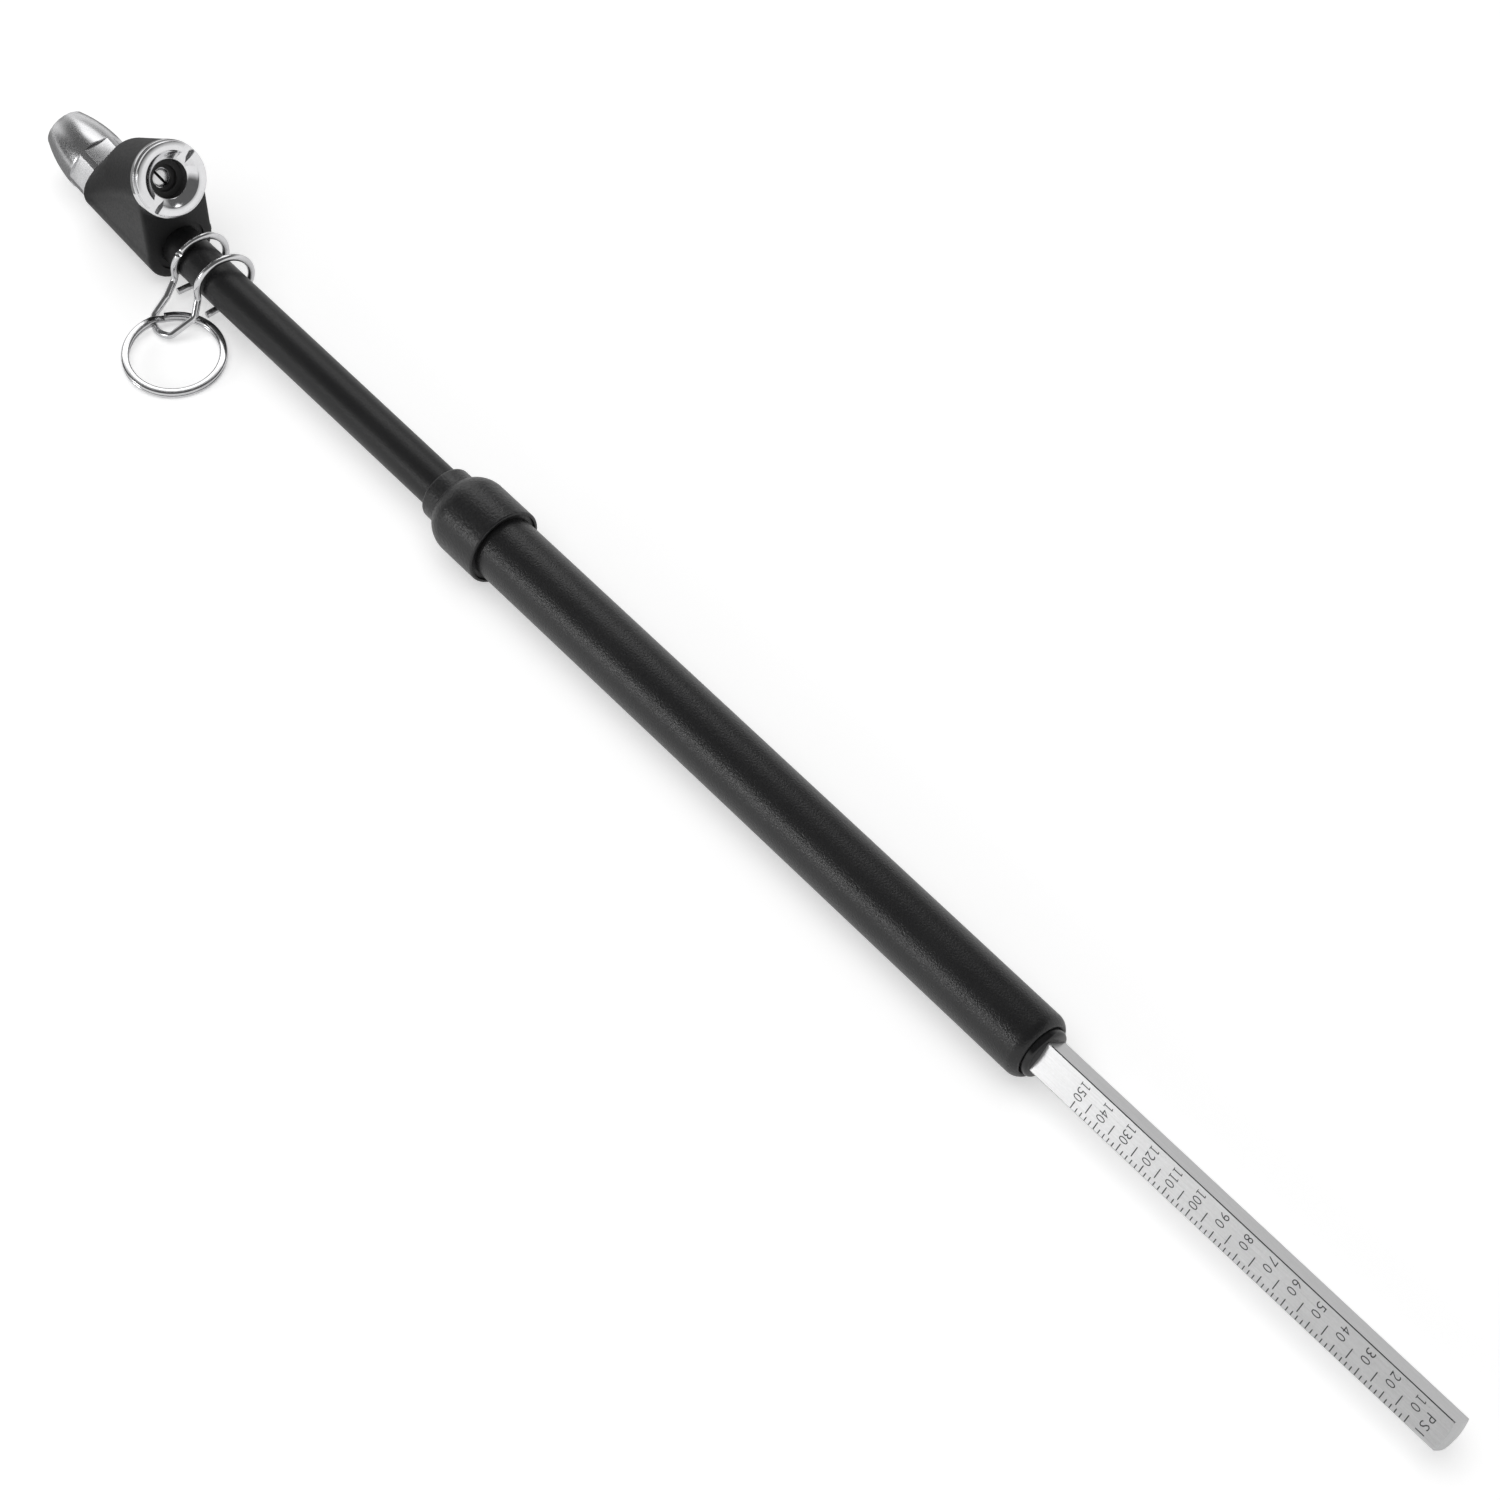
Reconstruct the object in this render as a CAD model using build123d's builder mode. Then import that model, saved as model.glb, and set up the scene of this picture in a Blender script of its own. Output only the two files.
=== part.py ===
"""Pencil tire pressure gauge with a double chuck head, an extending indicator bar,
a wire stem clip and a split key ring. Millimetres, +Z up.

The origin is the middle of the barrel, on the axis of the barrel and stem. The head
is toward -X, the bar slides out toward +X, and the angled boss points up and back.
The object lies on its side on a plane at the collar's radius below the axis.
"""

from math import cos, radians, sin, sqrt
import os

from build123d import *

os.makedirs("parts", exist_ok=True)

# Stem and barrel
STEM_R = 4.75
STEM_BORE_R = 3.2
STEM_FRONT_X = -206.0
STEM_REAR_X = -91.5
BARREL_R = 7.25
BARREL_END_R = 7.0
BARREL_BORE_R = 6.45
BARREL_FRONT_X = -90.5
BARREL_REAR_X = 80.2
ROLL_START_X = 77.7
ROLL_R = 6.1
ROLL_OPENING_R = 5.45
FIT = 0.02

# Collar between stem and barrel
COLLAR_R = 8.87
COLLAR_NECK_R = 6.15
COLLAR_NECK_X = -100.4
COLLAR_SHOULDER_X = -96.0
COLLAR_FULL_X = -91.0
COLLAR_END_X = -80.3
COLLAR_LIP_R = 8.15
COLLAR_FACE_RECESS = 0.5
STEM_SEAL_X = (-94.6, -93.0)
STEM_SEAL_R = 5.8

# End plug, wiper and spring washer
PLUG_R = 6.43
PLUG_NECK_R = 5.4
PLUG_FRONT_X = 66.0
PLUG_SHOULDER_X = 77.0
PLUG_FACE_X = 82.1
WIPER_X = (66.0, 68.0)
WIPER_R = 5.2
WASHER_X = (64.9, 65.9)

# Indicator bar, a square on its corner
BAR_SIDE = 6.6
BAR_HOLE_SIDE = 6.7
BAR_INNER_X = 34.8
BAR_TIP_X = 184.5
BAR_CROWN_R = 5.6
BAR_CORNER = 0.35

# Piston group
PISTON_R = 6.35
CUP_R = 6.40
PISTON_X = (27.0, 31.0)
PISTON_BOSS_R = 4.4
CUP_FRONT_X = 22.5
CUP_FLOOR = 1.5
CUP_WALL = 1.1
SCREW_R = 1.4
SCREW_HEAD_R = 2.8
MAIN_SPRING_R = 5.5
MAIN_SPRING_WIRE = 1.25
MAIN_SPRING_TURNS = 7

# Head casting
HEAD_REAR_X = -193.8
HEAD_REAR_R = 8.45
FORWARD_TILT = 10.0
FORWARD_RIM_X = -220.2
FORWARD_RIM_Z = 0.6
FORWARD_RIM_R = 7.6
BOSS_TILT = 33.0
BOSS_FACE_X = -192.6
BOSS_FACE_Z = 21.06
BOSS_R = 8.4
BOSS_END_R = 7.95
BOSS_START = -3.0
BOSS_END = -17.5
PASSAGE_R = 2.0
WEB_INSET = 0.12
STEM_RECESS_R = 6.1
STEM_RECESS = 0.4

# Forward chuck, distances outward from the head's rim
CHUCK_BASE_R = 7.3
CHUCK_MOUTH_R = 5.15
CHUCK_LENGTH = 17.0
CHUCK_FLATS = 13.3
CHUCK_FLATS_LENGTH = 4.1
MOUTH_BORE_R = 4.35
CHUCK_BORE_R = 5.22
CHUCK_SHANK_R = 5.6
CHUCK_SHANK = 6.0
SEAL_SEAT = 11.0
PIN_R = 2.0
PIN_DISC_R = 3.2
PIN_TAIL_R = 0.9
PIN_GUIDE_R = 2.05
CHAMBER_R = 3.6
SEAL_BORE_R = 3.0

# Angled chuck, distances along the boss axis from its face
FLANGE_R = 8.5
RING_R = 8.15
RING_EDGE = 1.25
RING_DISH_R = 6.15
RING_SKIRT_R = 5.58
RING_BORE_R = 4.2
RING_DISH = 1.6
SLOT_WIDTH = 2.3
SLOT_ANGLE = 31.0
SLOT_DEPTH = 1.2
PIN_SLOT_ANGLE = 110.0

# Wire clip and key ring
CLIP_WIRE_R = 0.8
RING_WIRE_R = 10.6
RING_WIRE_WIDTH = 1.75
RING_TURN_HEIGHT = 0.84
RING_GAP = 0.06
RING_TILT = 0.08
RING_X = -174.25
RING_Y = -16.8
RING_Z = -7.1

# Directions and working planes
forward_dir = Vector(-cos(radians(FORWARD_TILT)), 0, sin(radians(FORWARD_TILT)))
forward_rim = Vector(FORWARD_RIM_X, 0, FORWARD_RIM_Z)
forward_axis = Axis(forward_rim, forward_dir)
forward_side = Plane(origin=forward_rim, x_dir=forward_dir, z_dir=(0, 1, 0))
forward_face = Plane(origin=forward_rim, x_dir=(0, 1, 0), z_dir=forward_dir)
boss_dir = Vector(cos(radians(BOSS_TILT)), 0, sin(radians(BOSS_TILT)))
boss_face = Vector(BOSS_FACE_X, 0, BOSS_FACE_Z)
boss_axis = Axis(boss_face, boss_dir)
boss_side = Plane(origin=boss_face, x_dir=boss_dir, z_dir=(0, -1, 0))
boss_front = Plane(origin=boss_face, x_dir=(0, 1, 0), z_dir=boss_dir)
bar_section = Plane(origin=(0, 0, 0), x_dir=(0, 1, 0), z_dir=(1, 0, 0))

# Head casting: a coaxial lower body, the angled boss, the sloping front between
# their ends, and the straight-sided web that joins them
rear_plane = Plane(origin=(HEAD_REAR_X, 0, 0), x_dir=(0, 1, 0), z_dir=(-1, 0, 0))
boss_base = boss_face + boss_dir * BOSS_START
boss_end = boss_face + boss_dir * BOSS_END
head_draft = (HEAD_REAR_R - FORWARD_RIM_R) / (HEAD_REAR_X - FORWARD_RIM_X)
web_front_x = FORWARD_RIM_X + 0.4
web_rear_half = HEAD_REAR_R - WEB_INSET
web_front_half = FORWARD_RIM_R - WEB_INSET + head_draft * (web_front_x - FORWARD_RIM_X)

with BuildPart() as web:
    with BuildSketch(Plane.XY):
        with BuildLine():
            Polyline(
                (HEAD_REAR_X, -web_rear_half),
                (HEAD_REAR_X, web_rear_half),
                (web_front_x, web_front_half),
                (web_front_x, -web_front_half),
                close=True,
            )
        make_face()
    extrude(amount=boss_base.Z)
    with BuildSketch(Plane.XZ):
        with BuildLine():
            Polyline(
                (HEAD_REAR_X, 0),
                (HEAD_REAR_X, boss_base.Z - 2.1),
                (boss_base.X - 0.1, boss_base.Z - 0.1),
                (boss_end.X, boss_end.Z),
                (web_front_x, FORWARD_RIM_Z),
                (web_front_x, 0),
                close=True,
            )
        make_face()
    extrude(amount=HEAD_REAR_R + 1, both=True, mode=Mode.INTERSECT)

lower_axis = forward_rim - Vector(HEAD_REAR_X, 0, 0)
lower_length = lower_axis.length
lower_side = Plane(origin=(HEAD_REAR_X, 0, 0), x_dir=lower_axis, z_dir=(0, 1, 0))
with BuildPart() as head_body:
    with BuildSketch(lower_side):
        with BuildLine():
            Polyline(
                (-1, 0),
                (-1, HEAD_REAR_R - head_draft),
                (lower_length + 2, FORWARD_RIM_R - 2 * head_draft),
                (lower_length + 2, 0),
                close=True,
            )
        make_face()
    revolve(axis=Axis((HEAD_REAR_X, 0, 0), lower_axis))
    split(bisect_by=rear_plane, keep=Keep.TOP)
    split(bisect_by=forward_face, keep=Keep.BOTTOM)
    with BuildSketch(boss_side):
        with BuildLine():
            Polyline(
                (BOSS_START, 0),
                (BOSS_START, BOSS_R),
                (BOSS_END, BOSS_END_R),
                (BOSS_END, 0),
                close=True,
            )
        make_face()
    revolve(axis=boss_axis)
    with BuildSketch(boss_front.offset(BOSS_END)):
        Circle(BOSS_END_R)
    with BuildSketch(forward_face):
        Circle(FORWARD_RIM_R)
    loft(ruled=True)
    add(web.part)
    # Stem socket with a shallow recess, and the passage to the forward socket
    with BuildSketch(rear_plane):
        Circle(STEM_R + FIT)
    extrude(amount=HEAD_REAR_X - STEM_FRONT_X, mode=Mode.SUBTRACT)
    with BuildSketch(rear_plane):
        Circle(STEM_RECESS_R)
    extrude(amount=STEM_RECESS, mode=Mode.SUBTRACT)
    with BuildSketch(rear_plane.offset(HEAD_REAR_X - STEM_FRONT_X)):
        Circle(PASSAGE_R)
    extrude(amount=10, mode=Mode.SUBTRACT)
    with BuildSketch(forward_face):
        Circle(CHUCK_SHANK_R + FIT)
    extrude(amount=-(CHUCK_SHANK + 0.2), mode=Mode.SUBTRACT)
    # Boss bore, valve chamber and the passage down to the stem
    with BuildSketch(boss_front.offset(BOSS_START)):
        Circle(6.6 + FIT)
    extrude(amount=-8.0, mode=Mode.SUBTRACT)
    with BuildSketch(boss_front.offset(-11.0)):
        Circle(CHAMBER_R)
    extrude(amount=-5.0, mode=Mode.SUBTRACT)
    with BuildSketch(Plane.XY):
        with Locations((-207.6, 0)):
            Circle(1.4)
    extrude(amount=15.5, mode=Mode.SUBTRACT)

# Stem tube, pushed into the head and the collar
with BuildPart() as stem_tube:
    with BuildSketch(Plane.YZ.offset(STEM_FRONT_X)):
        Circle(STEM_R)
        Circle(STEM_BORE_R, mode=Mode.SUBTRACT)
    extrude(amount=STEM_REAR_X - STEM_FRONT_X)

# Collar adapter, turned, with a raised lip round the barrel end
with BuildPart() as collar_adapter:
    with BuildSketch(Plane.XZ):
        with BuildLine():
            Polyline(
                (COLLAR_NECK_X, STEM_R + FIT),
                (COLLAR_NECK_X, COLLAR_NECK_R - 0.9),
                (COLLAR_NECK_X + 0.3, COLLAR_NECK_R - 0.3),
                (COLLAR_NECK_X + 0.9, COLLAR_NECK_R),
                (COLLAR_SHOULDER_X, COLLAR_NECK_R),
            )
            ThreePointArc(
                (COLLAR_SHOULDER_X, COLLAR_NECK_R),
                (COLLAR_SHOULDER_X + 2.0, COLLAR_R - 0.75),
                (COLLAR_FULL_X, COLLAR_R),
            )
            Polyline(
                (COLLAR_FULL_X, COLLAR_R),
                (COLLAR_END_X - 0.3, COLLAR_R),
                (COLLAR_END_X, COLLAR_R - 0.3),
                (COLLAR_END_X, COLLAR_LIP_R),
                (COLLAR_END_X - COLLAR_FACE_RECESS, COLLAR_LIP_R),
                (COLLAR_END_X - COLLAR_FACE_RECESS, BARREL_END_R + FIT),
                (STEM_REAR_X, BARREL_END_R + FIT),
                (STEM_REAR_X, STEM_R + FIT),
                (STEM_SEAL_X[1], STEM_R + FIT),
                (STEM_SEAL_X[1], STEM_SEAL_R),
                (STEM_SEAL_X[0], STEM_SEAL_R),
                (STEM_SEAL_X[0], STEM_R + FIT),
                (COLLAR_NECK_X, STEM_R + FIT),
            )
        make_face()
    revolve(axis=Axis.X)

with BuildPart() as stem_seal:
    with BuildSketch(Plane.XZ):
        with Locations(((STEM_SEAL_X[0] + STEM_SEAL_X[1]) / 2, (STEM_R + STEM_SEAL_R) / 2)):
            RegularPolygon(0.47, 8, major_radius=False)
    revolve(axis=Axis.X)

with BuildPart() as barrel_gasket:
    with BuildSketch(Plane.YZ.offset(STEM_REAR_X)):
        Circle(BARREL_END_R - 0.05)
        Circle(STEM_R + 0.15, mode=Mode.SUBTRACT)
    extrude(amount=BARREL_FRONT_X - STEM_REAR_X)

# Barrel tube, turned down inside the collar, its other end rolled in over the plug
with BuildPart() as barrel_tube:
    with BuildSketch(Plane.XZ):
        with BuildLine():
            Polyline(
                (BARREL_FRONT_X, BARREL_BORE_R),
                (BARREL_FRONT_X, BARREL_END_R),
                (COLLAR_END_X - COLLAR_FACE_RECESS, BARREL_END_R),
                (COLLAR_END_X - COLLAR_FACE_RECESS, BARREL_R),
                (ROLL_START_X, BARREL_R),
            )
            ThreePointArc(
                (ROLL_START_X, BARREL_R),
                (ROLL_START_X + 1.75, BARREL_R - 0.42),
                (BARREL_REAR_X, ROLL_R),
            )
            Line((BARREL_REAR_X, ROLL_R), (BARREL_REAR_X, ROLL_OPENING_R))
            Line((BARREL_REAR_X, ROLL_OPENING_R), (BARREL_REAR_X - 0.9, ROLL_OPENING_R))
            ThreePointArc(
                (BARREL_REAR_X - 0.9, ROLL_OPENING_R),
                (BARREL_REAR_X - 1.9, BARREL_BORE_R - 0.28),
                (PLUG_SHOULDER_X, BARREL_BORE_R),
            )
            Line((PLUG_SHOULDER_X, BARREL_BORE_R), (BARREL_FRONT_X, BARREL_BORE_R))
        make_face()
    revolve(axis=Axis.X)

# End plug with a domed face and the square guide hole, set on its corner
with BuildPart() as end_plug:
    with BuildSketch(Plane.XZ):
        with BuildLine():
            Polyline(
                (PLUG_FRONT_X, 0),
                (PLUG_FRONT_X, PLUG_R),
                (PLUG_SHOULDER_X, PLUG_R),
                (PLUG_SHOULDER_X, PLUG_NECK_R),
                (PLUG_FACE_X - 0.9, PLUG_NECK_R),
                (PLUG_FACE_X - 0.5, PLUG_NECK_R - 0.4),
            )
            ThreePointArc(
                (PLUG_FACE_X - 0.5, PLUG_NECK_R - 0.4),
                (PLUG_FACE_X - 0.12, PLUG_NECK_R / 2),
                (PLUG_FACE_X, 0),
            )
            Line((PLUG_FACE_X, 0), (PLUG_FRONT_X, 0))
        make_face()
    revolve(axis=Axis.X)
    with BuildSketch(bar_section.offset(PLUG_FRONT_X)):
        Rectangle(BAR_HOLE_SIDE, BAR_HOLE_SIDE, rotation=45)
    extrude(amount=PLUG_FACE_X - PLUG_FRONT_X + 1, mode=Mode.SUBTRACT)
    with BuildSketch(bar_section.offset(WIPER_X[0])):
        Circle(WIPER_R + FIT)
    extrude(amount=WIPER_X[1] - WIPER_X[0], mode=Mode.SUBTRACT)

with BuildPart() as wiper_ring:
    with BuildSketch(bar_section.offset(WIPER_X[0])):
        Circle(WIPER_R)
        Rectangle(BAR_SIDE + 0.06, BAR_SIDE + 0.06, rotation=45, mode=Mode.SUBTRACT)
    extrude(amount=WIPER_X[1] - WIPER_X[0])

with BuildPart() as spring_washer:
    with BuildSketch(bar_section.offset(WASHER_X[0])):
        Circle(PISTON_R)
        Circle(STEM_R + 0.1, mode=Mode.SUBTRACT)
    extrude(amount=WASHER_X[1] - WASHER_X[0])

# Indicator bar: square rod on its corner with broken edges and a crowned tip
crown_centre_x = BAR_TIP_X - BAR_CROWN_R
with BuildPart() as indicator_bar:
    with BuildSketch(bar_section.offset(BAR_INNER_X)):
        bar_square = Rectangle(BAR_SIDE, BAR_SIDE, rotation=45)
        chamfer(bar_square.vertices(), BAR_CORNER)
    extrude(amount=BAR_TIP_X - BAR_INNER_X)
    with BuildSketch(Plane.XZ):
        with BuildLine():
            CenterArc((crown_centre_x, 0), BAR_CROWN_R, 0, 60)
            Polyline(
                (crown_centre_x + BAR_CROWN_R / 2, BAR_CROWN_R * cos(radians(30))),
                (crown_centre_x + BAR_CROWN_R / 2, BAR_SIDE + 1),
                (BAR_TIP_X + 1, BAR_SIDE + 1),
                (BAR_TIP_X + 1, 0),
                (BAR_TIP_X, 0),
            )
        make_face()
    revolve(axis=Axis.X, mode=Mode.SUBTRACT)

# Piston group on the inner end of the bar
with BuildPart() as piston:
    with BuildSketch(Plane.XZ):
        with BuildLine():
            Polyline(
                (PISTON_X[0], SCREW_R + 0.05),
                (PISTON_X[0], PISTON_R),
                (PISTON_X[1], PISTON_R),
                (PISTON_X[1], PISTON_BOSS_R),
                (BAR_INNER_X - 0.05, PISTON_BOSS_R),
                (BAR_INNER_X - 0.05, 0),
                (BAR_INNER_X - 1.2, 0),
                (BAR_INNER_X - 1.2, SCREW_R + 0.05),
                close=True,
            )
        make_face()
    revolve(axis=Axis.X)

with BuildPart() as piston_cup:
    with BuildSketch(Plane.XZ):
        with BuildLine():
            Polyline(
                (PISTON_X[0] - CUP_FLOOR, SCREW_R + 0.05),
                (PISTON_X[0], SCREW_R + 0.05),
                (PISTON_X[0], CUP_R - 0.4),
                (PISTON_X[0] - 0.4, CUP_R),
                (CUP_FRONT_X, CUP_R),
                (CUP_FRONT_X, CUP_R - 0.5),
                (PISTON_X[0] - CUP_FLOOR, CUP_R - CUP_WALL),
                close=True,
            )
        make_face()
    revolve(axis=Axis.X)

with BuildPart() as piston_washer:
    with BuildSketch(bar_section.offset(PISTON_X[0] - CUP_FLOOR - 1.0)):
        Circle(CUP_R - CUP_WALL - 0.4)
        Circle(SCREW_R + 0.05, mode=Mode.SUBTRACT)
    extrude(amount=1.0)

screw_seat_x = PISTON_X[0] - CUP_FLOOR - 1.0
with BuildPart() as piston_screw:
    with BuildSketch(Plane.XZ):
        with BuildLine():
            Polyline(
                (screw_seat_x - 1.5, 0),
                (screw_seat_x - 1.5, SCREW_HEAD_R - 0.5),
                (screw_seat_x - 1.0, SCREW_HEAD_R),
                (screw_seat_x, SCREW_HEAD_R),
                (screw_seat_x, SCREW_R),
                (BAR_INNER_X - 1.4, SCREW_R),
                (BAR_INNER_X - 1.4, 0),
                close=True,
            )
        make_face()
    revolve(axis=Axis.X)
    with BuildSketch(bar_section.offset(screw_seat_x - 1.5)):
        Rectangle(2 * SCREW_HEAD_R + 1, 0.7)
    extrude(amount=0.7, mode=Mode.SUBTRACT)

spring_start_x = PISTON_X[1] + MAIN_SPRING_WIRE / 2 + 0.1
spring_end_x = WASHER_X[0] - MAIN_SPRING_WIRE / 2 - 0.1
spring_height = spring_end_x - spring_start_x
with BuildPart() as main_spring:
    with BuildLine():
        main_coil = Helix(
            pitch=spring_height / MAIN_SPRING_TURNS,
            height=spring_height,
            radius=MAIN_SPRING_R,
            center=(spring_start_x, 0, 0),
            direction=(1, 0, 0),
        )
    with BuildSketch(Plane(origin=main_coil @ 0, z_dir=main_coil % 0)):
        Rectangle(MAIN_SPRING_WIRE, MAIN_SPRING_WIRE)
    sweep(path=main_coil, is_frenet=True)

# Forward chuck: wrench flats, rounded taper in short cones, lipped mouth
taper_start = CHUCK_FLATS_LENGTH + 0.9
taper_run = CHUCK_LENGTH - 0.5 - taper_start
taper_drop = CHUCK_BASE_R - CHUCK_MOUTH_R
taper_r = (taper_run**2 + taper_drop**2) / (2 * taper_drop)
taper_steps = 7
taper_points = [
    (
        taper_start + taper_run * i / taper_steps,
        CHUCK_BASE_R - taper_r + sqrt(taper_r**2 - (taper_run * i / taper_steps) ** 2),
    )
    for i in range(taper_steps + 1)
]
with BuildPart() as straight_chuck:
    with BuildSketch(forward_side):
        with BuildLine():
            Polyline(
                (-CHUCK_SHANK, CHUCK_BORE_R),
                (-CHUCK_SHANK, CHUCK_SHANK_R),
                (0, CHUCK_SHANK_R),
                (0, CHUCK_BASE_R - 0.25),
                (0.25, CHUCK_BASE_R),
                *taper_points,
                (CHUCK_LENGTH - 0.2, CHUCK_MOUTH_R - 0.12),
                (CHUCK_LENGTH, CHUCK_MOUTH_R - 0.38),
                (CHUCK_LENGTH - 0.05, MOUTH_BORE_R + 0.2),
                (CHUCK_LENGTH - 0.4, MOUTH_BORE_R),
                (SEAL_SEAT, MOUTH_BORE_R),
                (SEAL_SEAT, CHUCK_BORE_R),
                close=True,
            )
        make_face()
    revolve(axis=forward_axis)
    with BuildSketch(forward_face):
        Circle(CHUCK_BASE_R + 2)
        RegularPolygon(CHUCK_FLATS / 2, 6, major_radius=False, mode=Mode.SUBTRACT)
    extrude(amount=CHUCK_FLATS_LENGTH, mode=Mode.SUBTRACT)

with BuildPart() as straight_seal:
    with BuildSketch(forward_face.offset(SEAL_SEAT - 2.0)):
        Circle(CHUCK_BORE_R - FIT)
        Circle(SEAL_BORE_R, mode=Mode.SUBTRACT)
    extrude(amount=2.0)

with BuildPart() as straight_valve_body:
    with BuildSketch(forward_side):
        with BuildLine():
            Polyline(
                (-2.0, 1.2),
                (-2.0, CHUCK_BORE_R - 0.04),
                (8.9, CHUCK_BORE_R - 0.04),
                (8.9, PIN_GUIDE_R),
                (6.9, PIN_GUIDE_R),
                (6.9, CHAMBER_R),
                (0, CHAMBER_R),
                (0, 1.2),
                close=True,
            )
        make_face()
    revolve(axis=forward_axis)

with BuildPart() as straight_pin:
    with BuildSketch(forward_side):
        with BuildLine():
            Polyline(
                (8.6, 0),
                (8.6, PIN_R - 0.25),
                (8.35, PIN_R),
                (6.1, PIN_R),
                (6.1, PIN_DISC_R),
                (5.3, PIN_DISC_R),
                (5.3, PIN_TAIL_R),
                (2.4, PIN_TAIL_R),
                (2.4, 0),
                close=True,
            )
        make_face()
    revolve(axis=forward_axis)
    with BuildSketch(forward_face.offset(8.6)):
        Rectangle(2 * PIN_R + 1, 0.6, rotation=20)
    extrude(amount=-0.6, mode=Mode.SUBTRACT)

with BuildPart() as straight_valve_seal:
    with BuildSketch(forward_face.offset(6.12)):
        Circle(PIN_DISC_R)
        Circle(PIN_R + FIT, mode=Mode.SUBTRACT)
    extrude(amount=0.75)

with BuildPart() as straight_valve_spring:
    with BuildLine():
        straight_coil = Helix(
            pitch=0.98,
            height=4.5,
            radius=2.2,
            center=forward_rim + forward_dir * 0.4,
            direction=forward_dir,
        )
    with BuildSketch(Plane(origin=straight_coil @ 0, z_dir=straight_coil % 0)):
        Rectangle(0.45, 0.45)
    sweep(path=straight_coil, is_frenet=True)

# Angled chuck: flanged body in the boss and a slotted front ring
with BuildPart() as angled_chuck_body:
    with BuildSketch(boss_side):
        with BuildLine():
            Polyline(
                (-1.3, RING_SKIRT_R + 0.04),
                (-1.3, FLANGE_R - 0.2),
                (-1.5, FLANGE_R),
                (-2.8, FLANGE_R),
                (BOSS_START, FLANGE_R - 0.2),
                (BOSS_START, 6.6),
                (-11.0, 6.6),
                (-11.0, CHAMBER_R),
                (-8.2, CHAMBER_R),
                (-8.2, PIN_GUIDE_R),
                (-6.05, PIN_GUIDE_R),
                (-6.05, RING_SKIRT_R + 0.04),
                close=True,
            )
        make_face()
    revolve(axis=boss_axis)

with BuildPart() as angled_chuck_ring:
    with BuildSketch(boss_side):
        with BuildLine():
            Polyline(
                (0, RING_DISH_R),
                (0, RING_R - 0.2),
                (-0.2, RING_R),
                (-RING_EDGE, RING_R),
                (-RING_EDGE, RING_SKIRT_R),
                (-4.2, RING_SKIRT_R),
                (-4.2, RING_BORE_R),
                (-RING_DISH, RING_BORE_R),
                close=True,
            )
        make_face()
    revolve(axis=boss_axis)
    with BuildSketch(boss_front):
        Rectangle(2 * RING_R + 2, SLOT_WIDTH, rotation=SLOT_ANGLE)
    extrude(amount=-SLOT_DEPTH, mode=Mode.SUBTRACT)

with BuildPart() as angled_seal:
    with BuildSketch(boss_front.offset(-6.03)):
        Circle(RING_SKIRT_R - 0.02)
        Circle(PIN_R + 0.2, mode=Mode.SUBTRACT)
    extrude(amount=1.8)
    with BuildSketch(boss_front.offset(-5.4)):
        Circle(SEAL_BORE_R)
    extrude(amount=2, mode=Mode.SUBTRACT)

with BuildPart() as angled_pin:
    with BuildSketch(boss_side):
        with BuildLine():
            Polyline(
                (-6.4, 0),
                (-6.4, PIN_R - 0.2),
                (-6.6, PIN_R),
                (-9.0, PIN_R),
                (-9.0, PIN_DISC_R),
                (-9.8, PIN_DISC_R),
                (-9.8, PIN_TAIL_R),
                (-12.5, PIN_TAIL_R),
                (-12.5, 0),
                close=True,
            )
        make_face()
    revolve(axis=boss_axis)
    with BuildSketch(boss_front.offset(-6.4)):
        Rectangle(2 * PIN_R + 1, 0.7, rotation=PIN_SLOT_ANGLE)
    extrude(amount=-0.7, mode=Mode.SUBTRACT)

with BuildPart() as angled_valve_seal:
    with BuildSketch(boss_front.offset(-8.23)):
        Circle(PIN_DISC_R)
        Circle(PIN_R + FIT, mode=Mode.SUBTRACT)
    extrude(amount=-0.75)

with BuildPart() as angled_valve_spring:
    with BuildLine():
        angled_coil = Helix(
            pitch=1.12,
            height=5.4,
            radius=2.2,
            center=boss_face - boss_dir * 15.6,
            direction=boss_dir,
        )
    with BuildSketch(Plane(origin=angled_coil @ 0, z_dir=angled_coil % 0)):
        Rectangle(0.45, 0.45)
    sweep(path=angled_coil, is_frenet=True)

# Wire clip: two open hoops round the stem joined by a bent eye at the side. Each
# hoop's bends lie on an octagon that leans back toward the head on the eye's side
HOOP_R = 6.4
HOOP_ANGLES = (-67.5, -22.5, 22.5, 67.5, 112.5, 157.5)


def hoop_points(side_x, lean, centre_y, centre_z):
    corner_r = HOOP_R / cos(radians(22.5))
    return [
        (
            side_x - lean * abs(angle) / 180,
            centre_y + corner_r * cos(radians(angle)),
            centre_z + corner_r * sin(radians(angle)),
        )
        for angle in HOOP_ANGLES
    ]


front_hoop = hoop_points(-186.5, 1.75, 0.5, 0.22)
rear_hoop = hoop_points(-177.0, 2.75, 0.57, 0.61)
clip_eye = [
    (-188.7, -5.46, -2.2),
    (-187.33, -9.19, -4.8),
    (-187.2, -13.45, -8.05),
    (-183.13, -15.5, -8.05),
    (-179.38, -14.26, -7.25),
    (-177.78, -8.55, -4.25),
    (-179.45, -5.97, -1.22),
]
eye_bends = [2.2, 1.4, 1.2, 2.4, 1.2, 1.6, 1.6]
front_tail = (-188.16, -5.8, -6.1)
rear_tail = (-178.05, -5.3, -5.75)
hoop_bends = [0.96 * HOOP_R] * len(HOOP_ANGLES)

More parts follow.
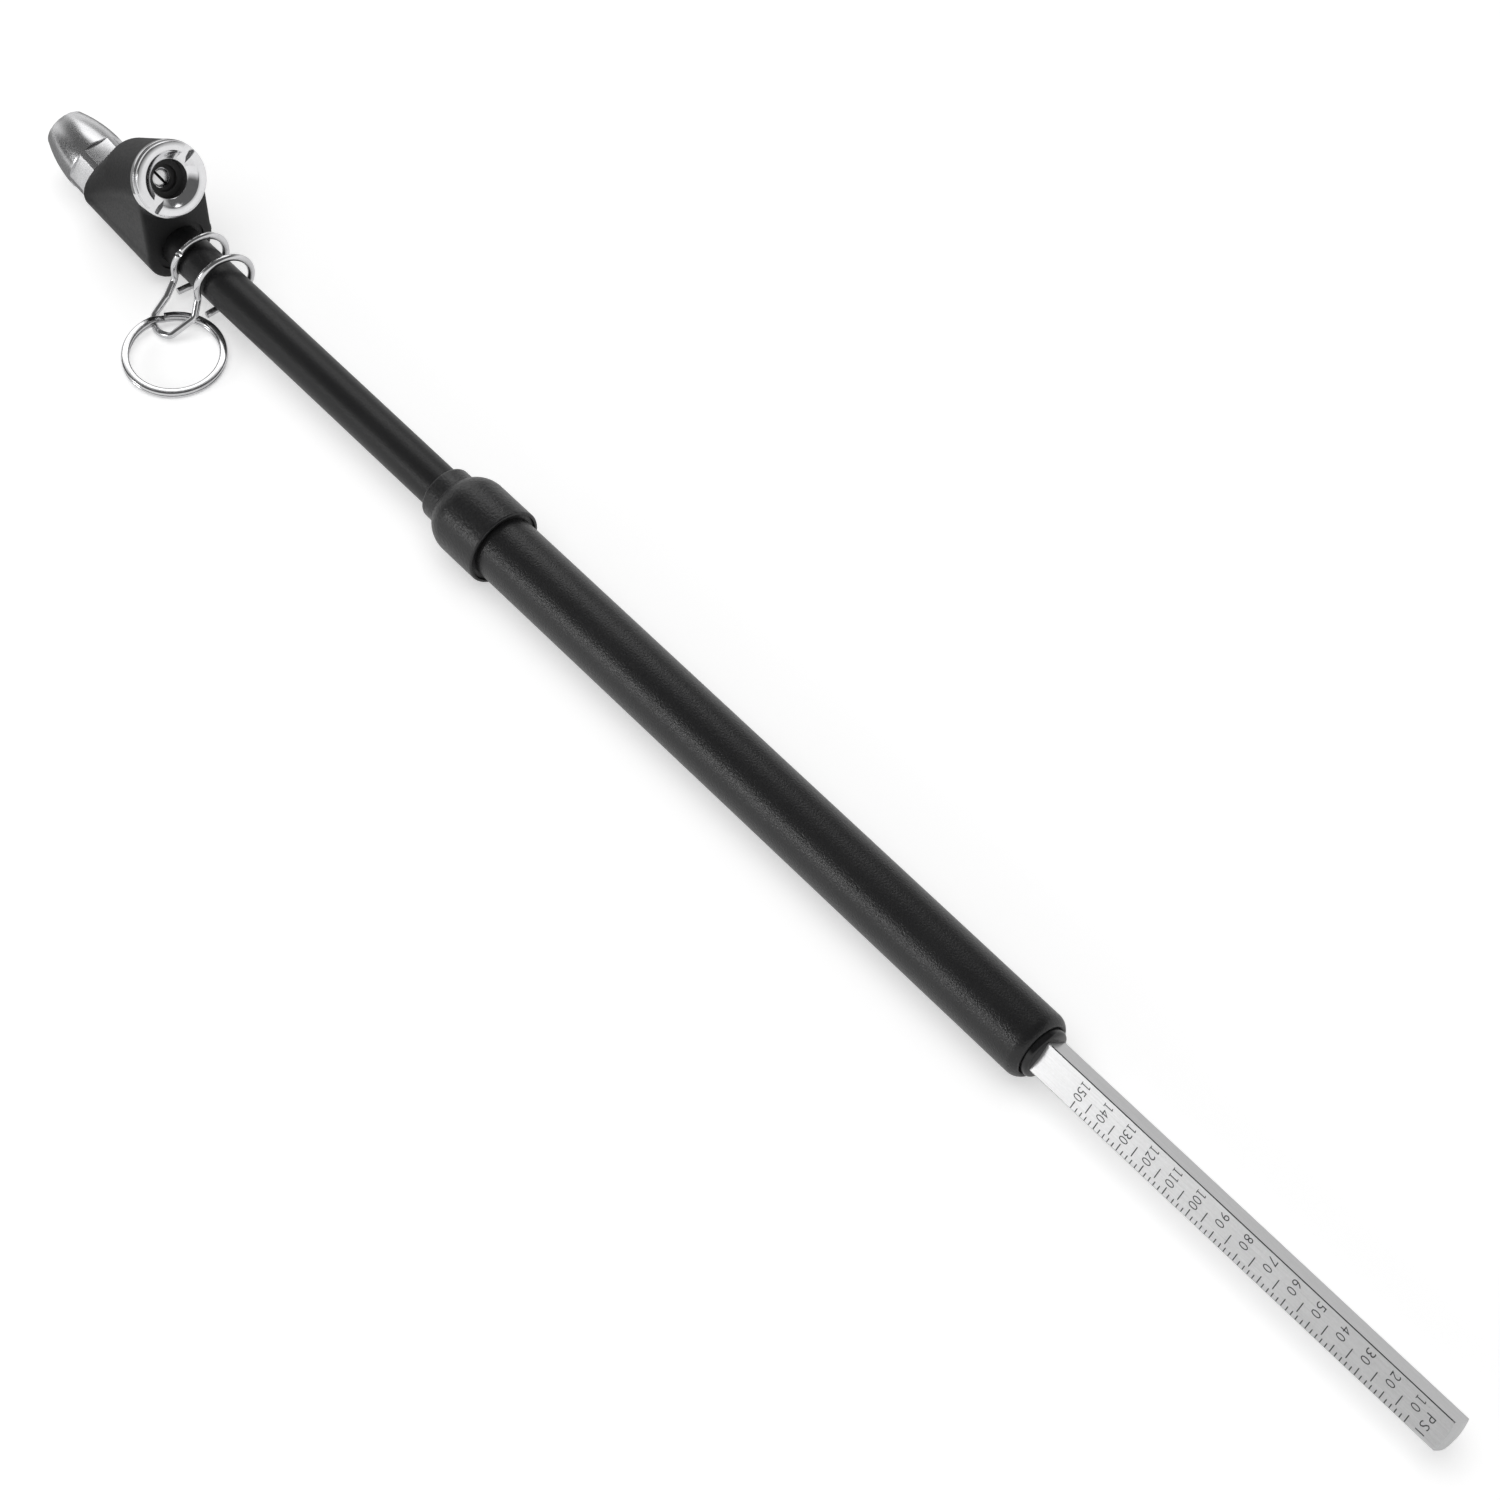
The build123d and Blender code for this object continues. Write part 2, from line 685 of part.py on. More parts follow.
with BuildPart() as stem_clip:
    with BuildLine():
        clip_path = FilletPolyline(
            front_tail,
            *front_hoop,
            *clip_eye,
            *reversed(rear_hoop),
            rear_tail,
            radius=hoop_bends + eye_bends + hoop_bends,
        )
    with BuildSketch(Plane(origin=clip_path @ 0, z_dir=clip_path % 0)):
        RegularPolygon(CLIP_WIRE_R, 8)
    sweep(path=clip_path)

# Key ring: two flat turns of one wire with a step between them, laid slightly
# tilted where it passes over the clip's eye
RING_STEP_ANGLE = 14.0
RING_END_ANGLE = 172.0
ring_low = -(RING_TURN_HEIGHT + RING_GAP) / 2
ring_high = (RING_TURN_HEIGHT + RING_GAP) / 2
step_start = Plane.XZ.rotated((0, 0, -RING_STEP_ANGLE))

with BuildPart() as ring_turns:
    with BuildSketch(Plane.XZ):
        with Locations((RING_WIRE_R, ring_low)):
            Rectangle(RING_WIRE_WIDTH, RING_TURN_HEIGHT)
    revolve(axis=Axis.Z, revolution_arc=360 - RING_STEP_ANGLE)
    with BuildSketch(Plane.XZ):
        with Locations((RING_WIRE_R, ring_high)):
            Rectangle(RING_WIRE_WIDTH, RING_TURN_HEIGHT)
    revolve(axis=Axis.Z, revolution_arc=360 - RING_STEP_ANGLE)
    with BuildSketch(step_start):
        with Locations((RING_WIRE_R, ring_low)):
            Rectangle(RING_WIRE_WIDTH, RING_TURN_HEIGHT)
    with BuildSketch(Plane.XZ):
        with Locations((RING_WIRE_R, ring_high)):
            Rectangle(RING_WIRE_WIDTH, RING_TURN_HEIGHT)
    loft(ruled=True)

ring_plane = Plane(
    origin=(RING_X, RING_Y, RING_Z),
    x_dir=(1, 0, -0.99 * RING_TILT),
    z_dir=(0.99 * RING_TILT, -0.136 * RING_TILT, 1),
)

with BuildPart() as key_ring:
    add(ring_turns.part.rotate(Axis.Z, RING_END_ANGLE).moved(ring_plane.location))

pieces = {
    "head_body": head_body,
    "stem_tube": stem_tube,
    "collar_adapter": collar_adapter,
    "stem_seal": stem_seal,
    "barrel_gasket": barrel_gasket,
    "barrel_tube": barrel_tube,
    "end_plug": end_plug,
    "wiper_ring": wiper_ring,
    "spring_washer": spring_washer,
    "indicator_bar": indicator_bar,
    "piston": piston,
    "piston_cup": piston_cup,
    "piston_washer": piston_washer,
    "piston_screw": piston_screw,
    "main_spring": main_spring,
    "straight_chuck": straight_chuck,
    "straight_seal": straight_seal,
    "straight_valve_body": straight_valve_body,
    "straight_pin": straight_pin,
    "straight_valve_seal": straight_valve_seal,
    "straight_valve_spring": straight_valve_spring,
    "angled_chuck_body": angled_chuck_body,
    "angled_chuck_ring": angled_chuck_ring,
    "angled_seal": angled_seal,
    "angled_pin": angled_pin,
    "angled_valve_seal": angled_valve_seal,
    "angled_valve_spring": angled_valve_spring,
    "stem_clip": stem_clip,
    "key_ring": key_ring,
}

for piece_name, piece in pieces.items():
    piece.part.label = piece_name
    export_step(piece.part, "parts/" + piece_name + ".step")
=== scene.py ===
from math import cos, pi, radians, sin, sqrt, tan

import bpy
from mathutils import Matrix, Vector


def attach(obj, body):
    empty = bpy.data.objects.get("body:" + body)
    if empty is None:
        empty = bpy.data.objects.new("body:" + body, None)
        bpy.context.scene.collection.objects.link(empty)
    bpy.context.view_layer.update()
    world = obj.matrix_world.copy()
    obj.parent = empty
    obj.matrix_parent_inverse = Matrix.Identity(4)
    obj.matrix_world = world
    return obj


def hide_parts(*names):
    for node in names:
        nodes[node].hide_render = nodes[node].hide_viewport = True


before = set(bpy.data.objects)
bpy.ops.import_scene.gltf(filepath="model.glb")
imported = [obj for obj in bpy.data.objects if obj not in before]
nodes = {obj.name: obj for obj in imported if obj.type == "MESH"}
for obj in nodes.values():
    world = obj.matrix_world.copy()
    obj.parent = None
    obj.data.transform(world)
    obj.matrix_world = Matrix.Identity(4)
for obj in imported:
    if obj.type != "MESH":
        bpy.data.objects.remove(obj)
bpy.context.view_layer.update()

# One millimetre in the frame's metres. The object's lengths are in millimetres, and those
# of the floor, cards and lamps are in metres where no MM stands beside them
MM = 0.001

# Directions and points shared by the head, the two chucks and the bar
AXIS_X = Vector((1, 0, 0))
AXIS_Y = Vector((0, 1, 0))
AXIS_Z = Vector((0, 0, 1))
FORWARD_TILT = radians(10)
forward_dir = Vector((-cos(FORWARD_TILT), 0, sin(FORWARD_TILT)))
forward_up = Vector((sin(FORWARD_TILT), 0, cos(FORWARD_TILT)))
forward_rim = Vector((-220.2, 0, 0.6))
BOSS_TILT = radians(33)
boss_dir = Vector((cos(BOSS_TILT), 0, sin(BOSS_TILT)))
boss_up = Vector((-sin(BOSS_TILT), 0, cos(BOSS_TILT)))
boss_face = Vector((-192.6, 0, 21.06))
HEAD_REAR_X = -193.8
STEM_HOLE_R = 4.77


# Modelling helpers
def deselect():
    bpy.ops.object.select_all(action="DESELECT")


def pick(piece):
    deselect()
    piece.select_set(True)
    bpy.context.view_layer.objects.active = piece


def start_piece(name):
    """Names the primitive just added and puts its place in its mesh."""
    piece = bpy.context.object
    piece.name = name
    piece.data.name = name
    bpy.ops.object.transform_apply(location=True, rotation=True, scale=True)
    return piece


def edit_all(piece):
    pick(piece)
    bpy.ops.object.mode_set(mode="EDIT")
    bpy.ops.mesh.select_all(action="SELECT")


def end_edit():
    """Merges points that lie on each other, turns the faces outward and leaves edit mode."""
    bpy.ops.mesh.select_all(action="SELECT")
    bpy.ops.mesh.remove_doubles(threshold=0.002 * MM)
    bpy.ops.mesh.normals_make_consistent(inside=False)
    bpy.ops.object.mode_set(mode="OBJECT")


def placing(x_dir, y_dir, z_dir, origin):
    """The matrix with these three directions and an origin in millimetres."""
    place = Matrix.Identity(4)
    for row in range(3):
        place[row][0] = x_dir[row]
        place[row][1] = y_dir[row]
        place[row][2] = z_dir[row]
        place[row][3] = origin[row] * MM
    return place


def settle(piece, x_dir, y_dir, z_dir, origin):
    """Turns a piece made along Z to lie along z_dir at an origin in millimetres."""
    pick(piece)
    piece.matrix_world = placing(x_dir, y_dir, z_dir, origin)
    bpy.ops.object.transform_apply(location=True, rotation=True, scale=True)
    return piece


def along_x(piece, x=0.0):
    return settle(piece, AXIS_Y, AXIS_Z, AXIS_X, Vector((x, 0, 0)))


def along_forward(piece):
    return settle(piece, -AXIS_Y, forward_up, forward_dir, forward_rim)


def along_boss(piece):
    return settle(piece, AXIS_Y, boss_up, boss_dir, boss_face)


ROUND_SEGMENTS = 96
# Radius of the small face that closes a profile where it starts or ends on the axis
TIP_R = 0.1


def turned(name, stations, segments=ROUND_SEGMENTS):
    """Turns a profile of (distance along the axis, radius) in millimetres about Z."""
    deselect()
    last_z, last_r = stations[0][0], max(stations[0][1], TIP_R)
    bpy.ops.mesh.primitive_circle_add(
        vertices=segments, radius=last_r * MM, fill_type="NOTHING", location=(0, 0, last_z * MM)
    )
    piece = start_piece(name)
    edit_all(piece)
    if stations[0][1] < TIP_R:
        bpy.ops.mesh.edge_face_add()
    for z, r in stations[1:]:
        r = max(r, TIP_R)
        bpy.ops.mesh.extrude_edges_move(
            TRANSFORM_OT_translate={"value": (0, 0, (z - last_z) * MM)}
        )
        bpy.ops.transform.resize(
            value=(r / last_r, r / last_r, 1), center_override=(0, 0, z * MM)
        )
        last_z, last_r = z, r
    if stations[-1][1] < TIP_R:
        bpy.ops.mesh.edge_face_add()
    end_edit()
    return piece


def bowed(start, middle, end, steps):
    """Points of the circular arc through three points of a turned profile."""
    (ax, ay), (bx, by), (cx, cy) = start, middle, end
    scale = 2 * (ax * (by - cy) + bx * (cy - ay) + cx * (ay - by))
    a2, b2, c2 = ax * ax + ay * ay, bx * bx + by * by, cx * cx + cy * cy
    ux = (a2 * (by - cy) + b2 * (cy - ay) + c2 * (ay - by)) / scale
    uy = (a2 * (cx - bx) + b2 * (ax - cx) + c2 * (bx - ax)) / scale
    centre = Vector((ux, uy))
    first = Vector(start) - centre
    whole = first.angle_signed(Vector(end) - centre)
    part = first.angle_signed(Vector(middle) - centre)
    if whole * part < 0:
        whole -= 2 * pi * (1 if whole > 0 else -1)
    points = []
    for i in range(steps + 1):
        angle = -whole * i / steps
        points.append(
            (
                ux + first.x * cos(angle) - first.y * sin(angle),
                uy + first.x * sin(angle) + first.y * cos(angle),
            )
        )
    return points


def slab(name, outline, depth):
    """Draws an outline edge by edge, fills it and pulls it up by depth."""
    deselect()
    bpy.ops.mesh.primitive_plane_add(size=MM)
    piece = start_piece(name)
    edit_all(piece)
    bpy.ops.mesh.merge(type="CENTER")
    bpy.ops.transform.translate(value=(outline[0][0] * MM, outline[0][1] * MM, 0))
    for here, there in zip(outline, outline[1:]):
        step = ((there[0] - here[0]) * MM, (there[1] - here[1]) * MM, 0)
        bpy.ops.mesh.extrude_vertices_move(TRANSFORM_OT_translate={"value": step})
    bpy.ops.mesh.select_all(action="SELECT")
    bpy.ops.mesh.edge_face_add()
    bpy.ops.mesh.extrude_region_move(TRANSFORM_OT_translate={"value": (0, 0, depth * MM)})
    end_edit()
    return piece


def rod(name, radius, low, high):
    """A cylinder along Z from a low to a high end."""
    deselect()
    bpy.ops.mesh.primitive_cylinder_add(
        vertices=ROUND_SEGMENTS,
        radius=radius * MM,
        depth=(high - low) * MM,
        location=(0, 0, (low + high) / 2 * MM),
    )
    return start_piece(name)


def block(name, size, centre, turn=0.0):
    deselect()
    bpy.ops.mesh.primitive_cube_add(size=MM)
    piece = bpy.context.object
    piece.scale = size
    piece.rotation_euler = (0, 0, radians(turn))
    piece.location = Vector(centre) * MM
    return start_piece(name)


def trim(piece, point, normal):
    """Cuts off what lies beyond a plane and closes the cut."""
    edit_all(piece)
    bpy.ops.mesh.bisect(
        plane_co=Vector(point) * MM, plane_no=normal, use_fill=True, clear_outer=True
    )
    end_edit()


def apply_modifier(piece, kind, **settings):
    pick(piece)
    change = piece.modifiers.new(kind.lower(), kind)
    for setting, value in settings.items():
        setattr(change, setting, value)
    bpy.ops.object.modifier_apply(modifier=change.name)


def cut_with(piece, cutter, operation="DIFFERENCE"):
    """Cuts a piece with a closed cutter and throws the cutter away."""
    apply_modifier(piece, "BOOLEAN", operation=operation, object=cutter, solver="EXACT")
    bpy.data.objects.remove(cutter, do_unlink=True)


def soften(piece, width, segments=2, angle=30):
    """Rounds the sharp edges of a piece."""
    apply_modifier(
        piece,
        "BEVEL",
        width=width * MM,
        segments=segments,
        limit_method="ANGLE",
        angle_limit=radians(angle),
        use_clamp_overlap=True,
    )


def smooth(piece, angle=32):
    pick(piece)
    bpy.ops.object.shade_smooth_by_angle(angle=radians(angle))


def join(name, parts):
    deselect()
    for part in parts:
        part.select_set(True)
    bpy.context.view_layer.objects.active = parts[0]
    bpy.ops.object.join()
    piece = bpy.context.object
    piece.name = name
    piece.data.name = name
    return piece


def copy_of(piece, name):
    """A copy with its own mesh."""
    pick(piece)
    bpy.ops.object.duplicate()
    twin = bpy.context.object
    twin.name = name
    twin.data.name = name
    return twin


def rounded_path(corners, bends, steps=8):
    """Rounds each corner of a run of straight wire with an arc of its bend radius."""
    corners = [Vector(corner) for corner in corners]
    path = [corners[0]]
    for before, corner, after, bend in zip(corners, corners[1:], corners[2:], bends):
        back = (before - corner).normalized()
        ahead = (after - corner).normalized()
        half = back.angle(ahead) / 2
        centre = corner + (back + ahead).normalized() * bend / sin(half)
        first = (corner + back * bend / tan(half) - centre) / bend
        last = (corner + ahead * bend / tan(half) - centre) / bend
        turn = first.angle(last)
        for i in range(steps + 1):
            t = i / steps
            share = (sin((1 - t) * turn) * first + sin(t * turn) * last) / sin(turn)
            path.append(centre + share * bend)
    path.append(corners[-1])
    return path


def wire_along(name, path, radius=0.0, section=None, z_up=False):
    """A wire along a path in millimetres, round or with a given section."""
    line = bpy.data.curves.new(name, "CURVE")
    line.dimensions = "3D"
    spline = line.splines.new("POLY")
    spline.points.add(len(path) - 1)
    for point, place in zip(spline.points, path):
        point.co = (place[0] * MM, place[1] * MM, place[2] * MM, 1)
    if z_up:
        line.twist_mode = "Z_UP"
    if section is None:
        line.bevel_depth = radius * MM
        line.bevel_resolution = 8
    else:
        line.bevel_mode = "OBJECT"
        line.bevel_object = section
    line.use_fill_caps = True
    wire = bpy.data.objects.new(name, line)
    bpy.context.scene.collection.objects.link(wire)
    pick(wire)
    bpy.ops.object.convert(target="MESH")
    piece = bpy.context.object
    piece.name = name
    piece.data.name = name
    edit_all(piece)
    end_edit()
    return piece


def dress(piece, material):
    piece.data.materials.clear()
    piece.data.materials.append(material)


def finish(piece, material, body, replaced=()):
    """Gives a piece its material and its body, and hides the nodes that it stands for."""
    dress(piece, material)
    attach(piece, body)
    if replaced:
        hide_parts(*replaced)


# Paints, plating, plastic and rubber
def finish_base(name, colour, roughness, metallic=0.0):
    material = bpy.data.materials.new(name)
    material.use_nodes = True
    tree = material.node_tree
    shader = tree.nodes["Principled BSDF"]
    shader.inputs["Base Color"].default_value = (*colour, 1)
    shader.inputs["Roughness"].default_value = roughness
    shader.inputs["Metallic"].default_value = metallic
    coords = tree.nodes.new("ShaderNodeTexCoord")
    return material, tree, shader, coords


def stretched(tree, coords, scale):
    mapping = tree.nodes.new("ShaderNodeMapping")
    mapping.inputs["Scale"].default_value = scale
    tree.links.new(coords.outputs["Object"], mapping.inputs["Vector"])
    return mapping.outputs["Vector"]


def grain(tree, source, scale, detail=3, rough=0.5):
    noise = tree.nodes.new("ShaderNodeTexNoise")
    noise.inputs["Scale"].default_value = scale
    noise.inputs["Detail"].default_value = detail
    noise.inputs["Roughness"].default_value = rough
    tree.links.new(source, noise.inputs["Vector"])
    return noise.outputs["Fac"]


def ranged(tree, value, low, high, floor=0.3, ceiling=0.7):
    spread = tree.nodes.new("ShaderNodeMapRange")
    spread.inputs["From Min"].default_value = floor
    spread.inputs["From Max"].default_value = ceiling
    spread.inputs["To Min"].default_value = low
    spread.inputs["To Max"].default_value = high
    tree.links.new(value, spread.inputs["Value"])
    return spread.outputs["Result"]


def summed(tree, first, second, share):
    """Adds a share of the second pattern to the first."""
    add = tree.nodes.new("ShaderNodeMath")
    add.operation = "MULTIPLY_ADD"
    add.inputs[1].default_value = share
    tree.links.new(second, add.inputs[0])
    tree.links.new(first, add.inputs[2])
    return add.outputs["Value"]


def bumped(tree, shader, height, strength, distance):
    bump = tree.nodes.new("ShaderNodeBump")
    bump.inputs["Strength"].default_value = strength
    bump.inputs["Distance"].default_value = distance * MM
    tree.links.new(height, bump.inputs["Height"])
    tree.links.new(bump.outputs["Normal"], shader.inputs["Normal"])


def tinted(tree, factor, low, high, start=0.3, end=0.7):
    ramp = tree.nodes.new("ShaderNodeValToRGB")
    ramp.color_ramp.elements[0].position = start
    ramp.color_ramp.elements[0].color = (*low, 1)
    ramp.color_ramp.elements[1].position = end
    ramp.color_ramp.elements[1].color = (*high, 1)
    tree.links.new(factor, ramp.inputs["Fac"])
    return ramp.outputs["Color"]


def painted(name, colour, light, roughness, peel_scale, peel_depth, specular=0.5):
    """Satin paint with a fine orange-peel skin over slow waves in the metal."""
    material, tree, shader, coords = finish_base(name, colour, roughness)
    shader.inputs["Specular IOR Level"].default_value = specular
    peel = grain(tree, coords.outputs["Object"], peel_scale, 2, 0.45)
    waves = grain(tree, coords.outputs["Object"], 60, 2)
    specks = grain(tree, coords.outputs["Object"], peel_scale * 2.2, 1)
    skin = summed(tree, peel, specks, 0.3)
    tree.links.new(tinted(tree, waves, colour, light), shader.inputs["Base Color"])
    tree.links.new(
        ranged(tree, skin, roughness - 0.05, roughness + 0.07, 0.4, 0.9), shader.inputs["Roughness"]
    )
    bumped(tree, shader, skin, 0.7, peel_depth)
    return material


def metal(name, colour, light, roughness, scale, depth=0.004, stretch=(1, 1, 1)):
    """Plated or turned metal with fine tool marks, which a stretch draws out."""
    material, tree, shader, coords = finish_base(name, colour, roughness, 1.0)
    marks = grain(tree, stretched(tree, coords, stretch), scale, 3, 0.6)
    cloud = grain(tree, coords.outputs["Object"], 220, 3)
    tree.links.new(
        tinted(tree, summed(tree, cloud, marks, 0.4), colour, light, 0.5, 0.9),
        shader.inputs["Base Color"],
    )
    tree.links.new(
        ranged(tree, marks, roughness - 0.03, roughness + 0.06), shader.inputs["Roughness"]
    )
    bumped(tree, shader, marks, 0.5, depth)
    return material


def moulded(name, colour, light, roughness, scale, depth=0.01):
    """Rubber or plastic with a fine moulded skin."""
    material, tree, shader, coords = finish_base(name, colour, roughness)
    skin = grain(tree, coords.outputs["Object"], scale, 3)
    tree.links.new(tinted(tree, skin, colour, light), shader.inputs["Base Color"])
    tree.links.new(
        ranged(tree, skin, roughness - 0.05, roughness + 0.07), shader.inputs["Roughness"]
    )
    bumped(tree, shader, skin, 0.4, depth)
    return material


def brushed_bar(name):
    """Drawn metal: long fine scratches over a soft mottle, a little dull."""
    material, tree, shader, coords = finish_base(name, (0.56, 0.56, 0.56), 0.3, 1.0)
    scratches = grain(tree, stretched(tree, coords, (0.02, 1, 1)), 6500, 4, 0.65)
    mottle = grain(tree, stretched(tree, coords, (0.5, 1, 1)), 3600, 3, 0.6)
    pattern = summed(tree, scratches, mottle, 0.5)
    tree.links.new(
        tinted(tree, pattern, (0.49, 0.49, 0.49), (0.64, 0.64, 0.645), 0.4, 1.1),
        shader.inputs["Base Color"],
    )
    tree.links.new(ranged(tree, pattern, 0.26, 0.38, 0.4, 1.1), shader.inputs["Roughness"])
    bumped(tree, shader, pattern, 0.3, 0.0035)
    return material


# Each has a name, its darker and its lighter colour, its roughness and the scale of its grain
tube_paint = painted(
    "tube_paint", (0.009, 0.009, 0.0095), (0.012, 0.012, 0.0125), 0.31, 2600, peel_depth=0.13
)
stem_paint = painted(
    "stem_paint",
    (0.009, 0.009, 0.0095),
    (0.012, 0.012, 0.0125),
    0.38,
    2800,
    peel_depth=0.05,
    specular=0.36,
)
collar_paint = painted(
    "collar_paint", (0.010, 0.010, 0.0105), (0.014, 0.014, 0.0145), 0.34, 1500, peel_depth=0.14
)
head_paint = painted(
    "head_paint",
    (0.009, 0.009, 0.0095),
    (0.013, 0.013, 0.0135),
    0.5,
    1900,
    peel_depth=0.06,
    specular=0.4,
)
plug_plastic = moulded("plug_plastic", (0.006, 0.006, 0.0065), (0.010, 0.010, 0.0105), 0.12, 700)
chuck_chrome = metal(
    "chuck_chrome",
    (0.64, 0.64, 0.65),
    (0.74, 0.74, 0.75),
    0.25,
    900,
    depth=0.0004,
    stretch=(6, 1, 1),
)
ring_chrome = metal(
    "ring_chrome", (0.76, 0.76, 0.77), (0.84, 0.84, 0.85), 0.10, 1400, depth=0.002
)
wire_chrome = metal("wire_chrome", (0.66, 0.66, 0.67), (0.76, 0.76, 0.77), 0.12, 1200)
# Dark metal that paints the shade inside the pin's slot
slot_painted_shade = metal("slot_painted_shade", (0.05, 0.05, 0.05), (0.09, 0.09, 0.09), 0.5, 1800)
pin_metal = metal("pin_metal", (0.74, 0.74, 0.74), (0.84, 0.84, 0.84), 0.22, 1800)
bar_metal = brushed_bar("bar_metal")
turned_brass = metal(
    "turned_brass", (0.62, 0.44, 0.18), (0.72, 0.53, 0.24), 0.3, 900, stretch=(8, 1, 1)
)
spring_wire = metal("spring_wire", (0.34, 0.34, 0.35), (0.42, 0.42, 0.43), 0.35, 1600)
seal_rubber = moulded("seal_rubber", (0.010, 0.010, 0.010), (0.018, 0.018, 0.018), 0.55, 900)
piston_plastic = moulded("piston_plastic", (0.70, 0.69, 0.64), (0.78, 0.77, 0.73), 0.45, 600)
# Dark ink of the scale's marks, also used for the painted dark reflection along the bar's top
# corner
scale_ink_and_corner_reflection = moulded("scale_ink_and_corner_reflection", (0.03, 0.03, 0.032), (0.06, 0.06, 0.062), 0.6, 1500, depth=0.004)

# The material of every node of the part. Pieces made below stand for the nodes from
# head_body on, and the nodes above it keep their CAD shape, apart from angled_pin
node_materials = {
    "stem_seal": seal_rubber,
    "barrel_gasket": seal_rubber,
    "wiper_ring": seal_rubber,
    "spring_washer": spring_wire,
    "straight_seal": seal_rubber,
    "straight_valve_body": turned_brass,
    "straight_pin": pin_metal,
    "straight_valve_seal": seal_rubber,
    "straight_valve_spring": spring_wire,
    "angled_seal": seal_rubber,
    "angled_pin": pin_metal,
    "angled_valve_seal": seal_rubber,
    "angled_valve_spring": spring_wire,
    "piston": piston_plastic,
    "piston_cup": seal_rubber,
    "piston_washer": turned_brass,
    "piston_screw": turned_brass,
    "main_spring": spring_wire,
    "head_body": head_paint,
    "stem_tube": stem_paint,
    "collar_adapter": collar_paint,
    "barrel_tube": tube_paint,
    "end_plug": plug_plastic,
    "straight_chuck": chuck_chrome,
    "angled_chuck_body": ring_chrome,
    "angled_chuck_ring": ring_chrome,
    "indicator_bar": bar_metal,
    "stem_clip": wire_chrome,
    "key_ring": wire_chrome,
}
for node_name, material in node_materials.items():
    for node_slot in nodes[node_name].material_slots:
        node_slot.material = material

# Head casting: the lower cone, the angled boss, the sloping front and the web are
# made one skin, and the skin is softened as a casting is
lower_dir = (forward_rim - Vector((HEAD_REAR_X, 0, 0))).normalized()
lower_up = AXIS_Y.cross(lower_dir)
lower_cone = turned("lower_cone", [(-1.5, 0), (-1.5, 8.5), (28.4, 7.54), (28.4, 0)])
settle(lower_cone, -AXIS_Y, -lower_up, lower_dir, Vector((HEAD_REAR_X, 0, 0)))
trim(lower_cone, (HEAD_REAR_X, 0, 0), (1, 0, 0))
trim(lower_cone, forward_rim, forward_dir)

BOSS_DEPTH = 17.5
BOSS_FOOT_R = 7.95
DISC = 0.02
boss_cone = turned(
    "boss_cone", [(-1.2, 0), (-1.2, 8.46), (-BOSS_DEPTH, BOSS_FOOT_R), (-BOSS_DEPTH, 0)]
)
along_boss(boss_cone)

# The slope is the hull of two thin discs: the boss's foot and the forward rim
front_slope = rod("front_slope", BOSS_FOOT_R, -BOSS_DEPTH - DISC, -BOSS_DEPTH)
along_boss(front_slope)
rim_disc = rod("rim_disc", 7.6, -DISC, 0)
along_forward(rim_disc)
front_slope = join("front_slope", [front_slope, rim_disc])
edit_all(front_slope)
bpy.ops.mesh.convex_hull()
end_edit()

# The web fills the side between the boss and the lower cone, and narrows toward the front
boss_base = boss_face - boss_dir * 3.0
boss_end = boss_face - boss_dir * BOSS_DEPTH
WEB_TOP_X = boss_base.x - 0.1
WEB_FRONT_X = -219.8
WEB_HALF = 8.33
web = slab(
    "web",
    [
        (HEAD_REAR_X, 0),
        (HEAD_REAR_X, boss_base.z - 2.1),
        (WEB_TOP_X, boss_base.z - 0.1),
        (boss_end.x, boss_end.z),
        (WEB_FRONT_X, 0.6),
        (WEB_FRONT_X, 0),
    ],
    2 * WEB_HALF,
)
settle(web, AXIS_X, AXIS_Z, -AXIS_Y, Vector((0, WEB_HALF, 0)))
for x, half_width in ((WEB_FRONT_X, 7.49), (boss_end.x, 7.9), (WEB_TOP_X, 8.29)):
    edit_all(web)
    bpy.ops.mesh.select_all(action="DESELECT")
    bpy.ops.object.mode_set(mode="OBJECT")
    for point in web.data.vertices:
        point.select = abs(point.co.x - x * MM) < 0.02 * MM
    bpy.ops.object.mode_set(mode="EDIT")
    bpy.ops.transform.resize(value=(1, half_width / WEB_HALF, 1), center_override=(0, 0, 0))
    bpy.ops.object.mode_set(mode="OBJECT")

head = join("head", [lower_cone, boss_cone, front_slope, web])
apply_modifier(head, "REMESH", mode="VOXEL", voxel_size=0.28 * MM)
apply_modifier(head, "SMOOTH", factor=0.5, iterations=14)
trim(head, boss_base, boss_dir)

# Sockets for the stem and the two chucks, and the chamber under the angled valve
for socket in (rod("stem_socket", STEM_HOLE_R, 0, 12.2), rod("stem_recess", 6.1, -1, 0.4)):
    cut_with(head, settle(socket, -AXIS_Y, AXIS_Z, -AXIS_X, Vector((HEAD_REAR_X, 0, 0))))
cut_with(head, along_forward(rod("forward_socket", 5.62, -6.2, 1)))
cut_with(head, along_boss(rod("boss_bore", 6.62, -11, 0)))
cut_with(head, along_boss(rod("chamber", 3.6, -16, -10.9)))
smooth(head, 40)
finish(head, head_paint, "gauge_body", ["head_body"])

# Stem tube
stem = turned(
    "stem",
    [
        (-206, 3.2),
        (-206, 4.6),
        (-205.85, 4.75),
        (-91.65, 4.75),
        (-91.5, 4.6),
        (-91.5, 3.2),
        (-206, 3.2),
    ],
)
along_x(stem)
smooth(stem)
finish(stem, stem_paint, "gauge_body", ["stem_tube"])

